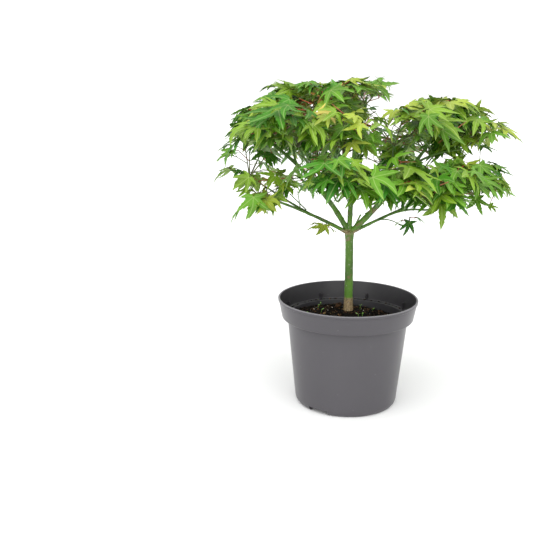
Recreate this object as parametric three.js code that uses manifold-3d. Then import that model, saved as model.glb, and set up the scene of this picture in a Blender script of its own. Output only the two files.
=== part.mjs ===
// A young palmate-leaved maple in its round nursery pot, in millimetres, +Z up.
// The origin is the middle of the pot's flat underside, and -Y is the side that faces the viewer.
import * as THREE from "three";
import { mergeVertices } from "three/addons/utils/BufferGeometryUtils.js";
import Module from "manifold-3d";

const wasm = await Module();
wasm.setup();

// Every solid's corners lie on a grid this fine, so none are closer to each other than this
const GRID = 1e-3;

// Clearance between pieces that meet
const GAP = 0.3;

// Driving dimensions of the pot
const POT_HEIGHT = 145;
const RIM_RADIUS = 94;
const COLLAR_DEPTH = 26.5;
const COLLAR_FOOT_RADIUS = 88.5;
const BODY_TOP_RADIUS = 80.8;
const BODY_LOW_RADIUS = 69.5;
const FOOT_RADIUS = 63.5;
const FOOT_ROUNDING = 9;
const FOOT_STEPS = 3;
const WALL = 1.6;
const FLOOR = 2.5;
const LIP = 1.2;
const LIP_DEPTH = 2.4;
const LEDGE_HEIGHT = POT_HEIGHT - COLLAR_DEPTH;
const LEDGE_ROUND = 1.5;
const COLLAR_ROUND = 2.2;
const POT_FACETS = 36;
const FIN_COUNT = 8;
const FIN_SIZE = [3, 1.4, 8];
const FIN_SUNK = 0.9;
const FIN_START_DEG = 18;
const DRAIN_COUNT = 3;
const DRAIN_START_DEG = -128;
const DRAIN_SIZE = [22, 28, 7];

// Driving dimensions of the potting soil, which is mounded round the trunk
const SOIL_EDGE_HEIGHT = 112;
const SOIL_TOP_HEIGHT = 126.5;
const SOIL_SEAT_RADIUS = 13;
const SOIL_MOUND_RADIUS = 46;
const SOIL_MOUND_SHARE = 0.62;
const SOIL_EDGE_ROUND = 4;
const SOIL_CORNER = 14;
const SOIL_CLEARANCE = 0.5;
const SOIL_FACETS = 24;

// Driving dimensions of the trunk and its head, from which the boughs part in short collars
const TRUNK_FOOT_RADIUS = 6.6;
const TRUNK_RADIUS = 5.35;
const TRUNK_NECK_RADIUS = 4.9;
const TRUNK_HEAD_RADIUS = 6.2;
const ROOT_FLARE_HEIGHT = 12;
const TRUNK_SIDES = 12;
const TRUNK_STEPS = 9;
const HEAD_HEIGHT = 232;
const HEAD_RISE = 3;
// The swelling under the head, as shares of the trunk's height
const HEAD_START = 0.88;
const HEAD_WIDENING = 0.08;
const COLLAR_LENGTH = 17;
const COLLAR_STEPS = 2;
const LIMB_SIDES = 5;
const LIMB_STEPS = 4;

// Main boughs: where each ends, its two radii, and how steeply it leaves the head, in degrees
const BOUGHS = {
  bough_left_low: { end: [-92, -24, 277], radii: [2.5, 1.5], climb: 30 },
  bough_left_high: { end: [-104, 14, 350], radii: [3.6, 1.9], climb: 62 },
  bough_centre: { end: [6, 14, 362], radii: [3.3, 1.7], climb: 88 },
  bough_right_high: { end: [92, -16, 344], radii: [4.0, 2.0], climb: 45 },
  bough_right_low: { end: [120, 12, 284], radii: [2.2, 1.3], climb: 26 },
  bough_back: { end: [16, 84, 330], radii: [3.1, 1.6], climb: 66 },
};

// A mass of foliage: the limb that carries it, where along that limb its side bough parts (1 is the limb's
// own end), its middle, its half-sizes, its droop in degrees, its seed, its twigs and its leaves' scale
const TWIG_COUNT = 7;
const mass = (limb, at, middle, reach, droop, seed, twigs = TWIG_COUNT, leaf = 1) => {
  return { limb, at, middle, reach, droop, seed, twigs, leaf };
};
const MASSES = {
  leaves_left_low: mass("bough_left_low", 1, [-104, -38, 284], [50, 48, 31], 14, 8),
  leaves_left_tip: mass("bough_left_low", 0.5, [-132, 16, 320], [54, 54, 34], 12, 39),
  leaves_left_high: mass("bough_left_high", 1, [-112, -6, 370], [56, 56, 36], 10, 30),
  leaves_left_front: mass("bough_left_high", 0.35, [-72, -86, 368], [54, 52, 38], 10, 20),
  leaves_left_back: mass("bough_left_high", 0.5, [-95, 101, 356], [60, 58, 38], 6, 28),
  leaves_left_crown: mass("bough_left_high", 0.72, [-68, 24, 400], [58, 56, 32], 2, 15),
  leaves_mid_crown: mass("bough_centre", 1, [-20, -24, 402], [54, 54, 30], 0, 21),
  leaves_crest: mass("bough_centre", 0.7, [20, 24, 412], [42, 46, 30], -14, 64, 5),
  leaves_mid_front: mass("bough_centre", 0.38, [-21, -99, 360], [52, 50, 38], 8, 34),
  leaves_front_low: mass("bough_centre", 0.22, [-34, -138, 316], [56, 50, 34], 12, 8),
  leaves_right_front: mass("bough_right_high", 0.25, [24, -116, 312], [54, 50, 34], 12, 40),
  leaves_right_mid: mass("bough_right_high", 0.55, [48, -40, 366], [52, 50, 36], 4, 9),
  leaves_right_crown: mass("bough_right_high", 1, [104, 4, 378], [60, 58, 36], 6, 10),
  leaves_right_tip: mass("bough_right_high", 0.8, [160, 16, 364], [58, 56, 34], 8, 33),
  leaves_right_low: mass("bough_right_low", 0.45, [96, -78, 294], [60, 54, 36], 16, 23),
  leaves_right_side: mass("bough_right_low", 1, [156, -14, 300], [60, 56, 34], 12, 36),
  leaves_right_back: mass("bough_right_low", 0.6, [126, 96, 342], [60, 58, 40], 8, 36),
  leaves_back_crown: mass("bough_back", 1, [14, 94, 384], [60, 54, 32], 4, 36),
  leaves_back_left: mass("bough_back", 0.45, [-40, 144, 324], [58, 54, 38], 10, 15),
  leaves_back_right: mass("bough_back", 0.6, [66, 150, 324], [58, 52, 38], 10, 20),
  leaves_sprout_left: mass("bough_left_low", 0.3, [-38, -34, 247], [16, 16, 12], 40, 115, 1, 0.45),
  leaves_sprout_right: mass("bough_right_low", 0.3, [68, -52, 257], [16, 16, 12], 40, 101, 1, 0.6),
};
const CROWN_MIDDLE = [8, 0, 300];
const CROWN_REACH = 200;

// Side boughs, and the stem, knot and twigs inside a mass
const SIDE_BOUGH_RADII = [1.7, 1.15];
const ENTRY_SHARE = 0.72;
const SIDE_TURN = 0.3;
const BEND_SHARE = 0.4;
const STEM_RADIUS = 1.1;
const STEM_STEPS = 2;
const KNOT_RADIUS = 2.2;
const HUB_DROP = 0.45;
const TWIG_SIDES = 4;
const TWIG_RADII = [1.05, 0.8];
const TWIG_SHARE = 0.62;
const GOLDEN_ANGLE_DEG = 137.508;
const SEED_TURN_DEG = 40;
const FIRST_CLIMB_DEG = 68;
const LAST_CLIMB_DEG = -4;
const TWIG_STRAY_DEG = 20;
const CLIMB_STRAY_DEG = 7;
// Where leaves sit on a twig, as a share of its length, and the way each turns from the twig, in degrees
const TWIG_NODES = [
  [0.95, 0],
  [0.92, 78],
  [0.92, -78],
  [0.5, 100],
  [0.5, -100],
];

// Leaves and their stalks: towards the crown's edge they droop more and turn more outward
const LEAF_LENGTH = 40;
const LEAF_SPREAD = [0.82, 1.12];
const LEAF_SIZES = [1, 0.86, 0.72, 0.6];
const LEAF_THICKNESS = 1.2;
const LEAF_DROOP_DEG = 14;
const EDGE_DROOP_DEG = 34;
const EDGE_PULL = 0.9;
const AIM_STRAY_DEG = 22;
const DROOP_STRAY_DEG = 15;
const ROLL_STRAY_DEG = 20;
const STALK_RADIUS = 0.55;
const STALK_CORNERS_DEG = [0, 120, 240];
const STALK_LENGTHS = [13, 27];
const STALK_RISE_DEG = 38;
const RISE_PER_DROOP = 0.5;
const RISE_STRAY_DEG = 10;
const RISE_LIMITS_DEG = [30, 80];

// Room that leaves and twigs keep: to each other, to limbs, and to the next mass's space
const TOUCH = 0.9;
const TOUCH_STEPS = 6;
const PROBE_STEPS = 10;
const LEAF_CLEARANCE = 2.2;
const TWIG_CLEARANCE = 1.5;
const CELL_MARGIN = 0.02;
// The parts of a twig and of a stalk that no leaf may touch; leaves are fused to the rest
const TWIG_FREE_SHARES = [0.1, 0.85];
const STALK_FREE_SHARE = 0.3;

// Half of a leaf's outline round its stalk: the angle from the middle lobe in degrees, and the distance
// from the stalk as a share of the middle lobe. Lobe tips and the notches between them take turns, and
// points farther out than LOBE_SHARE are tips.
const HALF_OUTLINE = [
  [0, 1],
  [24, 0.44],
  [46, 0.9],
  [72, 0.42],
  [100, 0.62],
];
const MIRRORED_HALF = HALF_OUTLINE.slice(1).map(([angle, share]) => [-angle, share]);
const OUTLINE = [...HALF_OUTLINE, ...MIRRORED_HALF.reverse()];
const LOBE_SHARE = 0.5;
const BACK_SHARE = 0.12;
const LOBE_SAG = 0.24;
// Which corner of the three-sided stalk each outline point is joined to on the leaf's underside
const STALK_CORNER = [0, 0, 0, 1, 1, 2, 2, 0, 0];

const MATERIALS = {
  pot: new THREE.MeshStandardMaterial({ color: 0x68666c, roughness: 0.38, metalness: 0 }),
  soil: new THREE.MeshStandardMaterial({ color: 0x2a1d16, roughness: 0.95, metalness: 0 }),
  bark: new THREE.MeshStandardMaterial({ color: 0x5c8238, roughness: 0.6, metalness: 0 }),
  leaf: new THREE.MeshStandardMaterial({ color: 0x4f8f35, roughness: 0.55, metalness: 0 }),
};

const radians = THREE.MathUtils.degToRad;
const clamp = THREE.MathUtils.clamp;
const lerp = THREE.MathUtils.lerp;
const vector = (point) => new THREE.Vector3(...point);

// A repeatable stream of numbers from 0 to 1
function seeded(seed) {
  const modulus = 2147483647;
  const multiplier = 16807;
  let state = seed * 7919;
  return () => {
    state = (state * multiplier) % modulus;
    return state / modulus;
  };
}

// A number at most so far from 0, either way
const stray = (random, most) => (random() * 2 - 1) * most;

const between = (random, [low, high]) => lerp(low, high, random());

function heading(azimuthDeg, climbDeg) {
  const azimuth = radians(azimuthDeg);
  const climb = radians(climbDeg);
  return new THREE.Vector3(
    Math.cos(azimuth) * Math.cos(climb),
    Math.sin(azimuth) * Math.cos(climb),
    Math.sin(climb),
  );
}

// A closed solid from a geometry whose corners are moved to the grid and joined where they meet
function solidOf(geometry) {
  const bare = geometry.index ? geometry.toNonIndexed() : geometry.clone();
  bare.deleteAttribute("normal");
  bare.deleteAttribute("uv");
  const numbers = bare.attributes.position.array;
  for (let i = 0; i < numbers.length; i++) {
    numbers[i] = Math.round(numbers[i] / GRID) * GRID;
  }
  const merged = mergeVertices(bare, GRID);
  const corners = merged.index.array;
  const kept = [];
  for (let i = 0; i < corners.length; i += 3) {
    const [a, b, c] = corners.slice(i, i + 3);
    if (a !== b && b !== c && c !== a) kept.push(a, b, c);
  }
  return new wasm.Manifold(
    new wasm.Mesh({
      numProp: 3,
      vertProperties: merged.attributes.position.array,
      triVerts: new Uint32Array(kept),
    }),
  );
}

function geometryOf(solid) {
  const { numProp, numVert, vertProperties, triVerts } = solid.getMesh();
  const positions = new Float32Array(numVert * 3);
  for (let i = 0; i < numVert; i++) {
    positions.set(vertProperties.subarray(i * numProp, i * numProp + 3), i * 3);
  }
  const geometry = new THREE.BufferGeometry();
  geometry.setAttribute("position", new THREE.BufferAttribute(positions, 3));
  geometry.setIndex(new THREE.BufferAttribute(new Uint32Array(triVerts), 1));
  return geometry;
}

// The largest body of a solid: loose scraps are dropped, and sealed hollows filled
function largestBody(solid) {
  const bodies = solid.decompose();
  return bodies.reduce((largest, body) => (body.volume() > largest.volume() ? body : largest));
}

// One body with its corners on the grid
const oneBody = (solid) => largestBody(solidOf(geometryOf(largestBody(solid))));

// Whether a solid keeps two faces along every edge once its corners are on the grid
function staysClosed(solid) {
  const { attributes, index } = mergeVertices(geometryOf(oneBody(solid)), GRID);
  const facesAlong = new Map();
  for (let i = 0; i < index.count; i++) {
    const next = i % 3 === 2 ? i - 2 : i + 1;
    const ends = [index.getX(i), index.getX(next)].sort((a, b) => a - b);
    const edge = ends[0] * attributes.position.count + ends[1];
    facesAlong.set(edge, (facesAlong.get(edge) ?? 0) + 1);
  }
  return [...facesAlong.values()].every((count) => count === 2);
}

function meshOf(name, solid, material) {
  const geometry = geometryOf(solid);
  geometry.computeVertexNormals();
  const mesh = new THREE.Mesh(geometry, material);
  mesh.name = name;
  return mesh;
}

// A solid turned about +Z from its profile, given as [radius, height] pairs
function turned(profile, facets) {
  const points = profile.map(([radius, height]) => new THREE.Vector2(radius, height));
  return solidOf(new THREE.LatheGeometry(points, facets).rotateX(Math.PI / 2));
}

// The quarter round between the pot's side and its foot, as [radius, height] pairs, lowest first
function footRound() {
  const points = [];
  for (let i = 0; i <= FOOT_STEPS; i++) {
    const angle = (i / FOOT_STEPS) * (Math.PI / 2);
    const out = FOOT_RADIUS + (BODY_LOW_RADIUS - FOOT_RADIUS) * Math.sin(angle);
    points.push([out, FOOT_ROUNDING * (1 - Math.cos(angle))]);
  }
  return points;
}

function potSolid() {
  const outside = [
    [0, 0],
    ...footRound(),
    [BODY_TOP_RADIUS, LEDGE_HEIGHT - LEDGE_ROUND],
    [BODY_TOP_RADIUS + LEDGE_ROUND, LEDGE_HEIGHT],
    [COLLAR_FOOT_RADIUS - COLLAR_ROUND, LEDGE_HEIGHT],
    [COLLAR_FOOT_RADIUS, LEDGE_HEIGHT + COLLAR_ROUND],
    [RIM_RADIUS - LIP, POT_HEIGHT - LIP_DEPTH - LIP],
    [RIM_RADIUS, POT_HEIGHT - LIP_DEPTH],
    [RIM_RADIUS, POT_HEIGHT - LIP / 2],
    [RIM_RADIUS - LIP, POT_HEIGHT],
  ];
  const inside = [
    [RIM_RADIUS - LIP - WALL, POT_HEIGHT],
    [COLLAR_FOOT_RADIUS - WALL, LEDGE_HEIGHT + WALL + LEDGE_ROUND],
    [BODY_TOP_RADIUS - WALL, LEDGE_HEIGHT + WALL],
    [BODY_LOW_RADIUS - WALL, FOOT_ROUNDING + WALL],
    [FOOT_RADIUS - WALL - LEDGE_ROUND, FLOOR],
    [0, FLOOR],
  ];
  let pot = turned([...outside, ...inside], POT_FACETS);
  for (let i = 0; i < FIN_COUNT; i++) {
    pot = pot.add(stackingFin(FIN_START_DEG + (i * 360) / FIN_COUNT));
  }
  for (let i = 0; i < DRAIN_COUNT; i++) {
    pot = pot.subtract(drainNotch(DRAIN_START_DEG + (i * 360) / DRAIN_COUNT));
  }
  return oneBody(pot);
}

// A small upright fin inside the collar, on which the next pot of a stack would rest
function stackingFin(azimuthDeg) {
  const radius = COLLAR_FOOT_RADIUS - WALL - FIN_SIZE[0] / 2 + FIN_SUNK;
  const fin = new THREE.BoxGeometry(...FIN_SIZE);
  fin.translate(radius, 0, LEDGE_HEIGHT + WALL + FIN_SIZE[2] / 2);
  return solidOf(fin.rotateZ(radians(azimuthDeg)));
}

// A drainage notch cut up through the rounded foot
function drainNotch(azimuthDeg) {
  const notch = new THREE.BoxGeometry(...DRAIN_SIZE);
  notch.translate(FOOT_RADIUS, 0, DRAIN_SIZE[2] / 2 - GAP);
  return solidOf(notch.rotateZ(radians(azimuthDeg)));
}

// The pot's inner radius at a height, less the clearance that the soil keeps
function soilRadius(height) {
  const share = (height - FOOT_ROUNDING) / (LEDGE_HEIGHT - FOOT_ROUNDING);
  return lerp(BODY_LOW_RADIUS, BODY_TOP_RADIUS, share) - WALL - SOIL_CLEARANCE;
}

function soilSolid() {
  const low = FLOOR + GAP;
  const brim = SOIL_EDGE_HEIGHT - SOIL_EDGE_ROUND;
  const profile = [
    [0, low],
    [FOOT_RADIUS - SOIL_CORNER, low],
    [soilRadius(low + SOIL_CORNER), low + SOIL_CORNER],
    [soilRadius(brim), brim],
    [soilRadius(brim) - SOIL_EDGE_ROUND, SOIL_EDGE_HEIGHT],
    [SOIL_MOUND_RADIUS, lerp(SOIL_EDGE_HEIGHT, SOIL_TOP_HEIGHT, SOIL_MOUND_SHARE)],
    [SOIL_SEAT_RADIUS, SOIL_TOP_HEIGHT],
    [0, SOIL_TOP_HEIGHT],
  ];
  return turned(profile, SOIL_FACETS);
}

// A tapering limb along a curve: a cylinder whose rings are laid across the curve
function limbSolid(curve, radiusAt, sides, steps) {
  const limb = new THREE.CylinderGeometry(1, 1, 1, sides, steps);
  const frames = curve.computeFrenetFrames(steps);
  const position = limb.attributes.position;
  for (let i = 0; i < position.count; i++) {
    const along = clamp(position.getY(i) + 0.5, 0, 1);
    const ring = Math.round(along * steps);
    const radius = radiusAt(along);
    const point = curve
      .getPoint(along)
      .addScaledVector(frames.normals[ring], position.getZ(i) * radius)
      .addScaledVector(frames.binormals[ring], position.getX(i) * radius);
    position.setXYZ(i, point.x, point.y, point.z);
  }
  return solidOf(limb);
}

const taper = ([foot, tip]) => (along) => lerp(foot, tip, along);

// The part of a limb's curve from one share of its length to another
function stretch(curve, from, to) {
  const points = [];
  for (let i = 0; i <= LIMB_STEPS; i++) {
    points.push(curve.getPoint(lerp(from, to, i / LIMB_STEPS)));
  }
  return new THREE.CatmullRomCurve3(points);
}

const headPoint = new THREE.Vector3(0, 0, HEAD_HEIGHT);

// A main bough's whole line, from the middle of the trunk's head
function boughCurve({ end, climb }) {
  const tip = vector(end);
  const across = tip.clone().sub(headPoint);
  const azimuth = THREE.MathUtils.radToDeg(Math.atan2(across.y, across.x));
  const way = heading(azimuth, climb);
  const bend = headPoint.clone().addScaledVector(way, across.length() / 2);
  return new THREE.QuadraticBezierCurve3(headPoint, bend, tip);
}

function trunkSolid(boughs) {
  const foot = new THREE.Vector3(0, 0, SOIL_TOP_HEIGHT + GAP);
  const top = new THREE.Vector3(0, 0, HEAD_HEIGHT + HEAD_RISE);
  const height = top.z - foot.z;
  const radiusAt = (along) => {
    const stem = lerp(TRUNK_RADIUS, TRUNK_NECK_RADIUS, along);
    const flare = Math.exp((-along * height) / ROOT_FLARE_HEIGHT);
    const swelling = clamp((along - HEAD_START) / HEAD_WIDENING, 0, 1);
    const roots = flare * (TRUNK_FOOT_RADIUS - TRUNK_RADIUS);
    return stem + roots + swelling * (TRUNK_HEAD_RADIUS - TRUNK_NECK_RADIUS);
  };
  let trunk = limbSolid(new THREE.LineCurve3(foot, top), radiusAt, TRUNK_SIDES, TRUNK_STEPS);
  for (const { curve, radii, collar } of Object.values(boughs)) {
    trunk = trunk.add(limbSolid(stretch(curve, 0, collar), () => radii[0], LIMB_SIDES, COLLAR_STEPS));
  }
  return oneBody(trunk);
}

// Every main bough by name: its whole curve, its radii, and the share of the curve that its collar takes
function mainBoughs() {
  const limbs = {};
  for (const [name, bough] of Object.entries(BOUGHS)) {
    const curve = boughCurve(bough);
    const collar = COLLAR_LENGTH / curve.getLength();
    limbs[name] = { curve, radii: bough.radii, collar };
  }
  return limbs;
}

// The point under a mass's middle where its twigs part
const hubOf = ({ middle, reach }) => vector(middle).setZ(middle[2] - reach[2] * HUB_DROP);

// The curve on which a side bough or a stem leaves its carrier and bends towards a point
function onward(start, way, end) {
  const bend = start.clone().addScaledVector(way, start.distanceTo(end) * BEND_SHARE);
  return new THREE.QuadraticBezierCurve3(start, bend, end);
}

// The side bough that leads from a main bough to a mass
function sideBough(mass, parent) {
  const from = parent.curve.getPoint(mass.at);
  const along = parent.curve.getTangent(mass.at);
  const hub = hubOf(mass);
  const tip = from.clone().lerp(hub, ENTRY_SHARE);
  const way = along.lerp(tip.clone().sub(from).normalize(), SIDE_TURN);
  return { curve: onward(from, way, tip), radii: SIDE_BOUGH_RADII, collar: 0 };
}

// How far out a mass reaches from its middle in a direction
function reachToward({ reach }, way) {
  return 1 / Math.hypot(way.x / reach[0], way.y / reach[1], way.z / reach[2]);
}

// Distance from a mass's middle, where 1 is its outer surface
function shareOf({ middle, reach }, point) {
  return Math.hypot(
    (point.x - middle[0]) / reach[0],
    (point.y - middle[1]) / reach[1],
    (point.z - middle[2]) / reach[2],
  );
}

// A leaf's own frame: forward along its middle lobe, across it, and out of its upper face
function leafFrame(forwardAzimuth, droop, roll) {
  const forward = heading(forwardAzimuth, -droop);
  const level = heading(forwardAzimuth + 90, 0);
  const upright = new THREE.Vector3().crossVectors(forward, level);
  const across = level.clone().multiplyScalar(Math.cos(radians(roll)));
  across.addScaledVector(upright, Math.sin(radians(roll)));
  const face = new THREE.Vector3().crossVectors(forward, across);
  return { forward, across, face };
}

// The outline of a leaf in space, with its lobes sagging towards their tips
function leafOutline({ base, frame, length }) {
  return OUTLINE.map(([angle, share]) => {
    const out = share * length;
    return base
      .clone()
      .addScaledVector(frame.forward, out * Math.cos(radians(angle)))
      .addScaledVector(frame.across, out * Math.sin(radians(angle)))
      .addScaledVector(frame.face, -LOBE_SAG * share * out);
  });
}

// One leaf on a twig's node. The stalk rises on the side of the leaf's upper face, so it lies under the
// leaf, and the leaf hangs from the stalk's end.
function leafAt(node, azimuth, droop, roll, rise, stalk, length) {
  const frame = leafFrame(azimuth, droop, roll);
  const way = frame.forward.clone().multiplyScalar(Math.cos(radians(rise)));
  way.addScaledVector(frame.face, Math.sin(radians(rise)));
  return { node, way, frame, length, base: node.clone().addScaledVector(way, stalk) };
}

// A leaf and its stalk as one closed solid, sunk into the twig at its node
function leafSolid(leaf) {
  const { node, way, frame, base } = leaf;
  const outline = leafOutline(leaf);
  const side = frame.across;
  const front = new THREE.Vector3().crossVectors(side, way);
  const ring = (centre) =>
    STALK_CORNERS_DEG.map((angle) =>
      centre
        .clone()
        .addScaledVector(front, -STALK_RADIUS * Math.cos(radians(angle)))
        .addScaledVector(side, STALK_RADIUS * Math.sin(radians(angle))),
    );
  const top = base.clone().addScaledVector(frame.face, LEAF_THICKNESS / 2);
  const upper = ring(base.clone().addScaledVector(way, -LEAF_THICKNESS / 2));
  const lower = ring(node);
  const faces = [];
  outline.forEach((point, i) => {
    const next = (i + 1) % outline.length;
    const here = STALK_CORNER[i];
    const there = STALK_CORNER[next];
    faces.push(top, point, outline[next]);
    faces.push(upper[here], outline[next], point);
    if (here !== there) faces.push(upper[here], upper[there], outline[next]);
  });
  for (let i = 0; i < 3; i++) {
    const next = (i + 1) % 3;
    faces.push(upper[i], lower[i], upper[next], upper[next], lower[i], lower[next]);
  }
  faces.push(lower[0], lower[2], lower[1]);
  return solidOf(new THREE.BufferGeometry().setFromPoints(faces));
}

// Points that stand for a leaf when it is tested against limbs and the masses' own spaces
function leafProbes(leaf) {
  const outline = leafOutline(leaf);
  const halfway = outline.map((point) => point.clone().lerp(leaf.base, 0.5));
  return [leaf.base, ...outline, ...halfway];
}

// The lines that stand for a leaf when it is tested against other leaves: its stalk and its lobes
function leafLines(leaf) {
  const tips = leafOutline(leaf).filter((point, i) => OUTLINE[i][1] > LOBE_SHARE);
  const stalk = [leaf.node.clone().lerp(leaf.base, STALK_FREE_SHARE), leaf.base];
  return [stalk, ...tips.map((tip) => [leaf.base, tip])];
}

// How far the outline reaches at an angle round the stalk, as a share of the middle lobe
function outlineShare(angleDeg) {
  const turn = Math.abs(angleDeg);
  const half = [...HALF_OUTLINE, [180, BACK_SHARE]];
  const next = Math.max(
    half.findIndex(([angle]) => angle >= turn),
    1,
  );
  const [fromAngle, fromShare] = half[next - 1];
  const [toAngle, toShare] = half[next];
  return lerp(fromShare, toShare, (turn - fromAngle) / (toAngle - fromAngle));
}

// Height of a point over a leaf's upper face, or null where it isn't above or below the leaf
function heightOver(leaf, point) {
  const away = point.clone().sub(leaf.base);
  const u = away.dot(leaf.frame.forward);
  const v = away.dot(leaf.frame.across);
  const out = Math.hypot(u, v);
  const share = outlineShare(THREE.MathUtils.radToDeg(Math.atan2(v, u)));
  if (out > share * leaf.length + TOUCH) return null;
  return away.dot(leaf.frame.face) + LOBE_SAG * share * out;
}

// Whether a straight line touches or passes through a leaf
function pierces([from, to], leaf) {
  let last = null;
  for (let i = 0; i <= TOUCH_STEPS; i++) {
    const height = heightOver(leaf, from.clone().lerp(to, i / TOUCH_STEPS));
    if (height !== null && Math.abs(height) < TOUCH) return true;
    if (height !== null && last !== null && height * last < 0) return true;
    last = height;
  }
  return false;
}

const leavesCross = (one, other) =>
  one.base.distanceTo(other.base) < one.length + other.length &&
  (leafLines(one).some((line) => pierces(line, other)) ||
    leafLines(other).some((line) => pierces(line, one)));

function clearOfLimbs(points, limbs, margin) {
  return points.every((point) =>
    limbs.every(({ line, thickness }) =>
      line.every((on, i) => {
        if (i === 0) return true;
        const nearest = new THREE.Line3(line[i - 1], on).closestPointToPoint(
          point,
          true,
          new THREE.Vector3(),
        );
        return nearest.distanceTo(point) > thickness + margin;
      }),
    ),
  );
}

const keepsToCell = (points, mass) =>
  points.every((point) => {
    const own = shareOf(mass, point) + CELL_MARGIN;
    return Object.values(MASSES).every((other) => other === mass || own < shareOf(other, point));
  });

// The twigs of one mass, spread round its hub by a seeded rule
function growTwigs(mass, limbs, random) {
  const hub = hubOf(mass);
  const twigs = [];
  for (let k = 0; k < mass.twigs; k++) {
    const turn = mass.seed * SEED_TURN_DEG + k * GOLDEN_ANGLE_DEG;
    const azimuth = turn + stray(random, TWIG_STRAY_DEG);
    const climb = lerp(FIRST_CLIMB_DEG, LAST_CLIMB_DEG, (k + 0.5) / mass.twigs);
    const way = heading(azimuth, climb + stray(random, CLIMB_STRAY_DEG));
    const tip = vector(mass.middle).addScaledVector(way, reachToward(mass, way) * TWIG_SHARE);
    const line = new THREE.LineCurve3(hub, tip);
    const ends = [line.getPoint(0.5), tip];
    const clear = clearOfLimbs(ends, limbs, TWIG_CLEARANCE) && keepsToCell([tip], mass);
    twigs.push({ line, azimuth, clear, bearing: false });
  }
  return twigs;
}

// A leaf as the seeded rule would have it at a twig's node, in each size that may be tried
function candidates(mass, { line, azimuth }, [share, turn], random) {
  const node = line.getPoint(share);
  const outward = node.clone().sub(vector(CROWN_MIDDLE)).setZ(0);
  const edge = clamp(outward.length() / CROWN_REACH, 0, 1);
  const aim = heading(azimuth + turn + stray(random, AIM_STRAY_DEG), 0);
  aim.addScaledVector(outward.normalize(), edge * EDGE_PULL);
  const toward = THREE.MathUtils.radToDeg(Math.atan2(aim.y, aim.x));
  const level = mass.droop + LEAF_DROOP_DEG + EDGE_DROOP_DEG * edge;
  const droop = level + stray(random, DROOP_STRAY_DEG);
  const roll = stray(random, ROLL_STRAY_DEG);
  const steep = STALK_RISE_DEG + droop * RISE_PER_DROOP + stray(random, RISE_STRAY_DEG);
  const rise = clamp(steep, ...RISE_LIMITS_DEG);
  const stalk = between(random, STALK_LENGTHS) * mass.leaf;
  const full = between(random, LEAF_SPREAD) * LEAF_LENGTH * mass.leaf;
  return LEAF_SIZES.map((size) => leafAt(node, toward, droop, roll, rise, stalk, full * size));
}

// The twigs and leaves of one mass. Every candidate draws the same count of numbers whether or not it is
// kept, so leaving one out changes none of the others.
function growMass(mass, limbs) {
  const random = seeded(mass.seed);
  const twigs = growTwigs(mass, limbs, random);
  const lines = twigs.map(({ line }) => TWIG_FREE_SHARES.map((share) => line.getPoint(share)));
  const leaves = [];
  const keepsClear = (leaf) => {
    const probes = leafProbes(leaf);
    return (
      keepsToCell(probes, mass) &&
      clearOfLimbs(probes, limbs, LEAF_CLEARANCE) &&
      lines.every((line) => !pierces(line, leaf)) &&
      leaves.every((other) => !leavesCross(leaf, other))
    );
  };
  for (const place of TWIG_NODES) {
    for (const twig of twigs) {
      const leaf = candidates(mass, twig, place, random).find(keepsClear);
      if (!leaf || !twig.clear) continue;
      leaves.push(leaf);
      twig.bearing = true;
    }
  }
  return { hub: hubOf(mass), twigs: twigs.filter(({ bearing }) => bearing), leaves };
}

// A mass of foliage as one solid: its stem from the limb's end, its twigs, and every leaf that keeps
// clear of the limbs and of the masses already made
function massSolid(limb, { hub, twigs, leaves }, others) {
  const way = limb.curve.getTangent(1);
  const start = limb.curve.getPoint(1).addScaledVector(way, GAP);
  const knot = new THREE.OctahedronGeometry(KNOT_RADIUS).translate(...hub.toArray());
  const stem = limbSolid(onward(start, way, hub), () => STEM_RADIUS, TWIG_SIDES, STEM_STEPS);
  let solid = stem.add(solidOf(knot));
  for (const { line } of twigs) {
    solid = solid.add(limbSolid(line, taper(TWIG_RADII), TWIG_SIDES, 1));
  }
  for (const leaf of leaves) {
    const piece = leafSolid(leaf);
    const joined = solid.add(piece);
    const clear = others.every((other) => piece.intersect(other).isEmpty());
    if (clear && staysClosed(joined)) solid = joined;
  }
  return oneBody(solid);
}

const plant = new THREE.Group();
const potMesh = meshOf("pot", potSolid(), MATERIALS.pot);
const soilMesh = meshOf("soil", soilSolid(), MATERIALS.soil);
plant.add(potMesh, soilMesh);

const boughs = mainBoughs();
const trunk = trunkSolid(boughs);
plant.add(meshOf("trunk", trunk, MATERIALS.bark));

// Limbs as lines with a thickness, against which leaves are tested
const probeLimbs = [];
const solids = [trunk];
const carriers = {};

function addLimb(name, { curve, radii, collar }, parent) {
  const from = collar ? collar + GAP / curve.getLength() : 0;
  const line = stretch(curve, from, 1);
  let solid = limbSolid(line, taper(radii), LIMB_SIDES, LIMB_STEPS);
  if (parent) {
    const round = taper(parent.radii.map((radius) => radius + GAP));
    const seat = limbSolid(stretch(parent.curve, parent.collar, 1), round, LIMB_SIDES, LIMB_STEPS);
    solid = oneBody(solid.subtract(seat));
  }
  solids.push(solid);
  probeLimbs.push({ line: line.getPoints(PROBE_STEPS), thickness: radii[0] });
  plant.add(meshOf(name, solid, MATERIALS.bark));
}

for (const [name, bough] of Object.entries(boughs)) addLimb(name, bough, null);
for (const [name, mass] of Object.entries(MASSES)) {
  const parent = boughs[mass.limb];
  if (mass.at === 1) {
    carriers[name] = parent;
  } else {
    carriers[name] = sideBough(mass, parent);
    addLimb(name.replace("leaves", "limb"), carriers[name], parent);
  }
}
for (const [name, mass] of Object.entries(MASSES)) {
  const solid = massSolid(carriers[name], growMass(mass, probeLimbs), solids);
  solids.push(solid);
  plant.add(meshOf(name, solid, MATERIALS.leaf));
}

export default plant;
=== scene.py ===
"""A young palmate-leaved maple in its round nursery pot: bark, twigs, foliage, potting soil and pot."""

import math
from collections import namedtuple

import bpy
import numpy as np
from bpy.props import FloatProperty, FloatVectorProperty, IntProperty, PointerProperty
from mathutils import Matrix, Vector, noise


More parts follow.
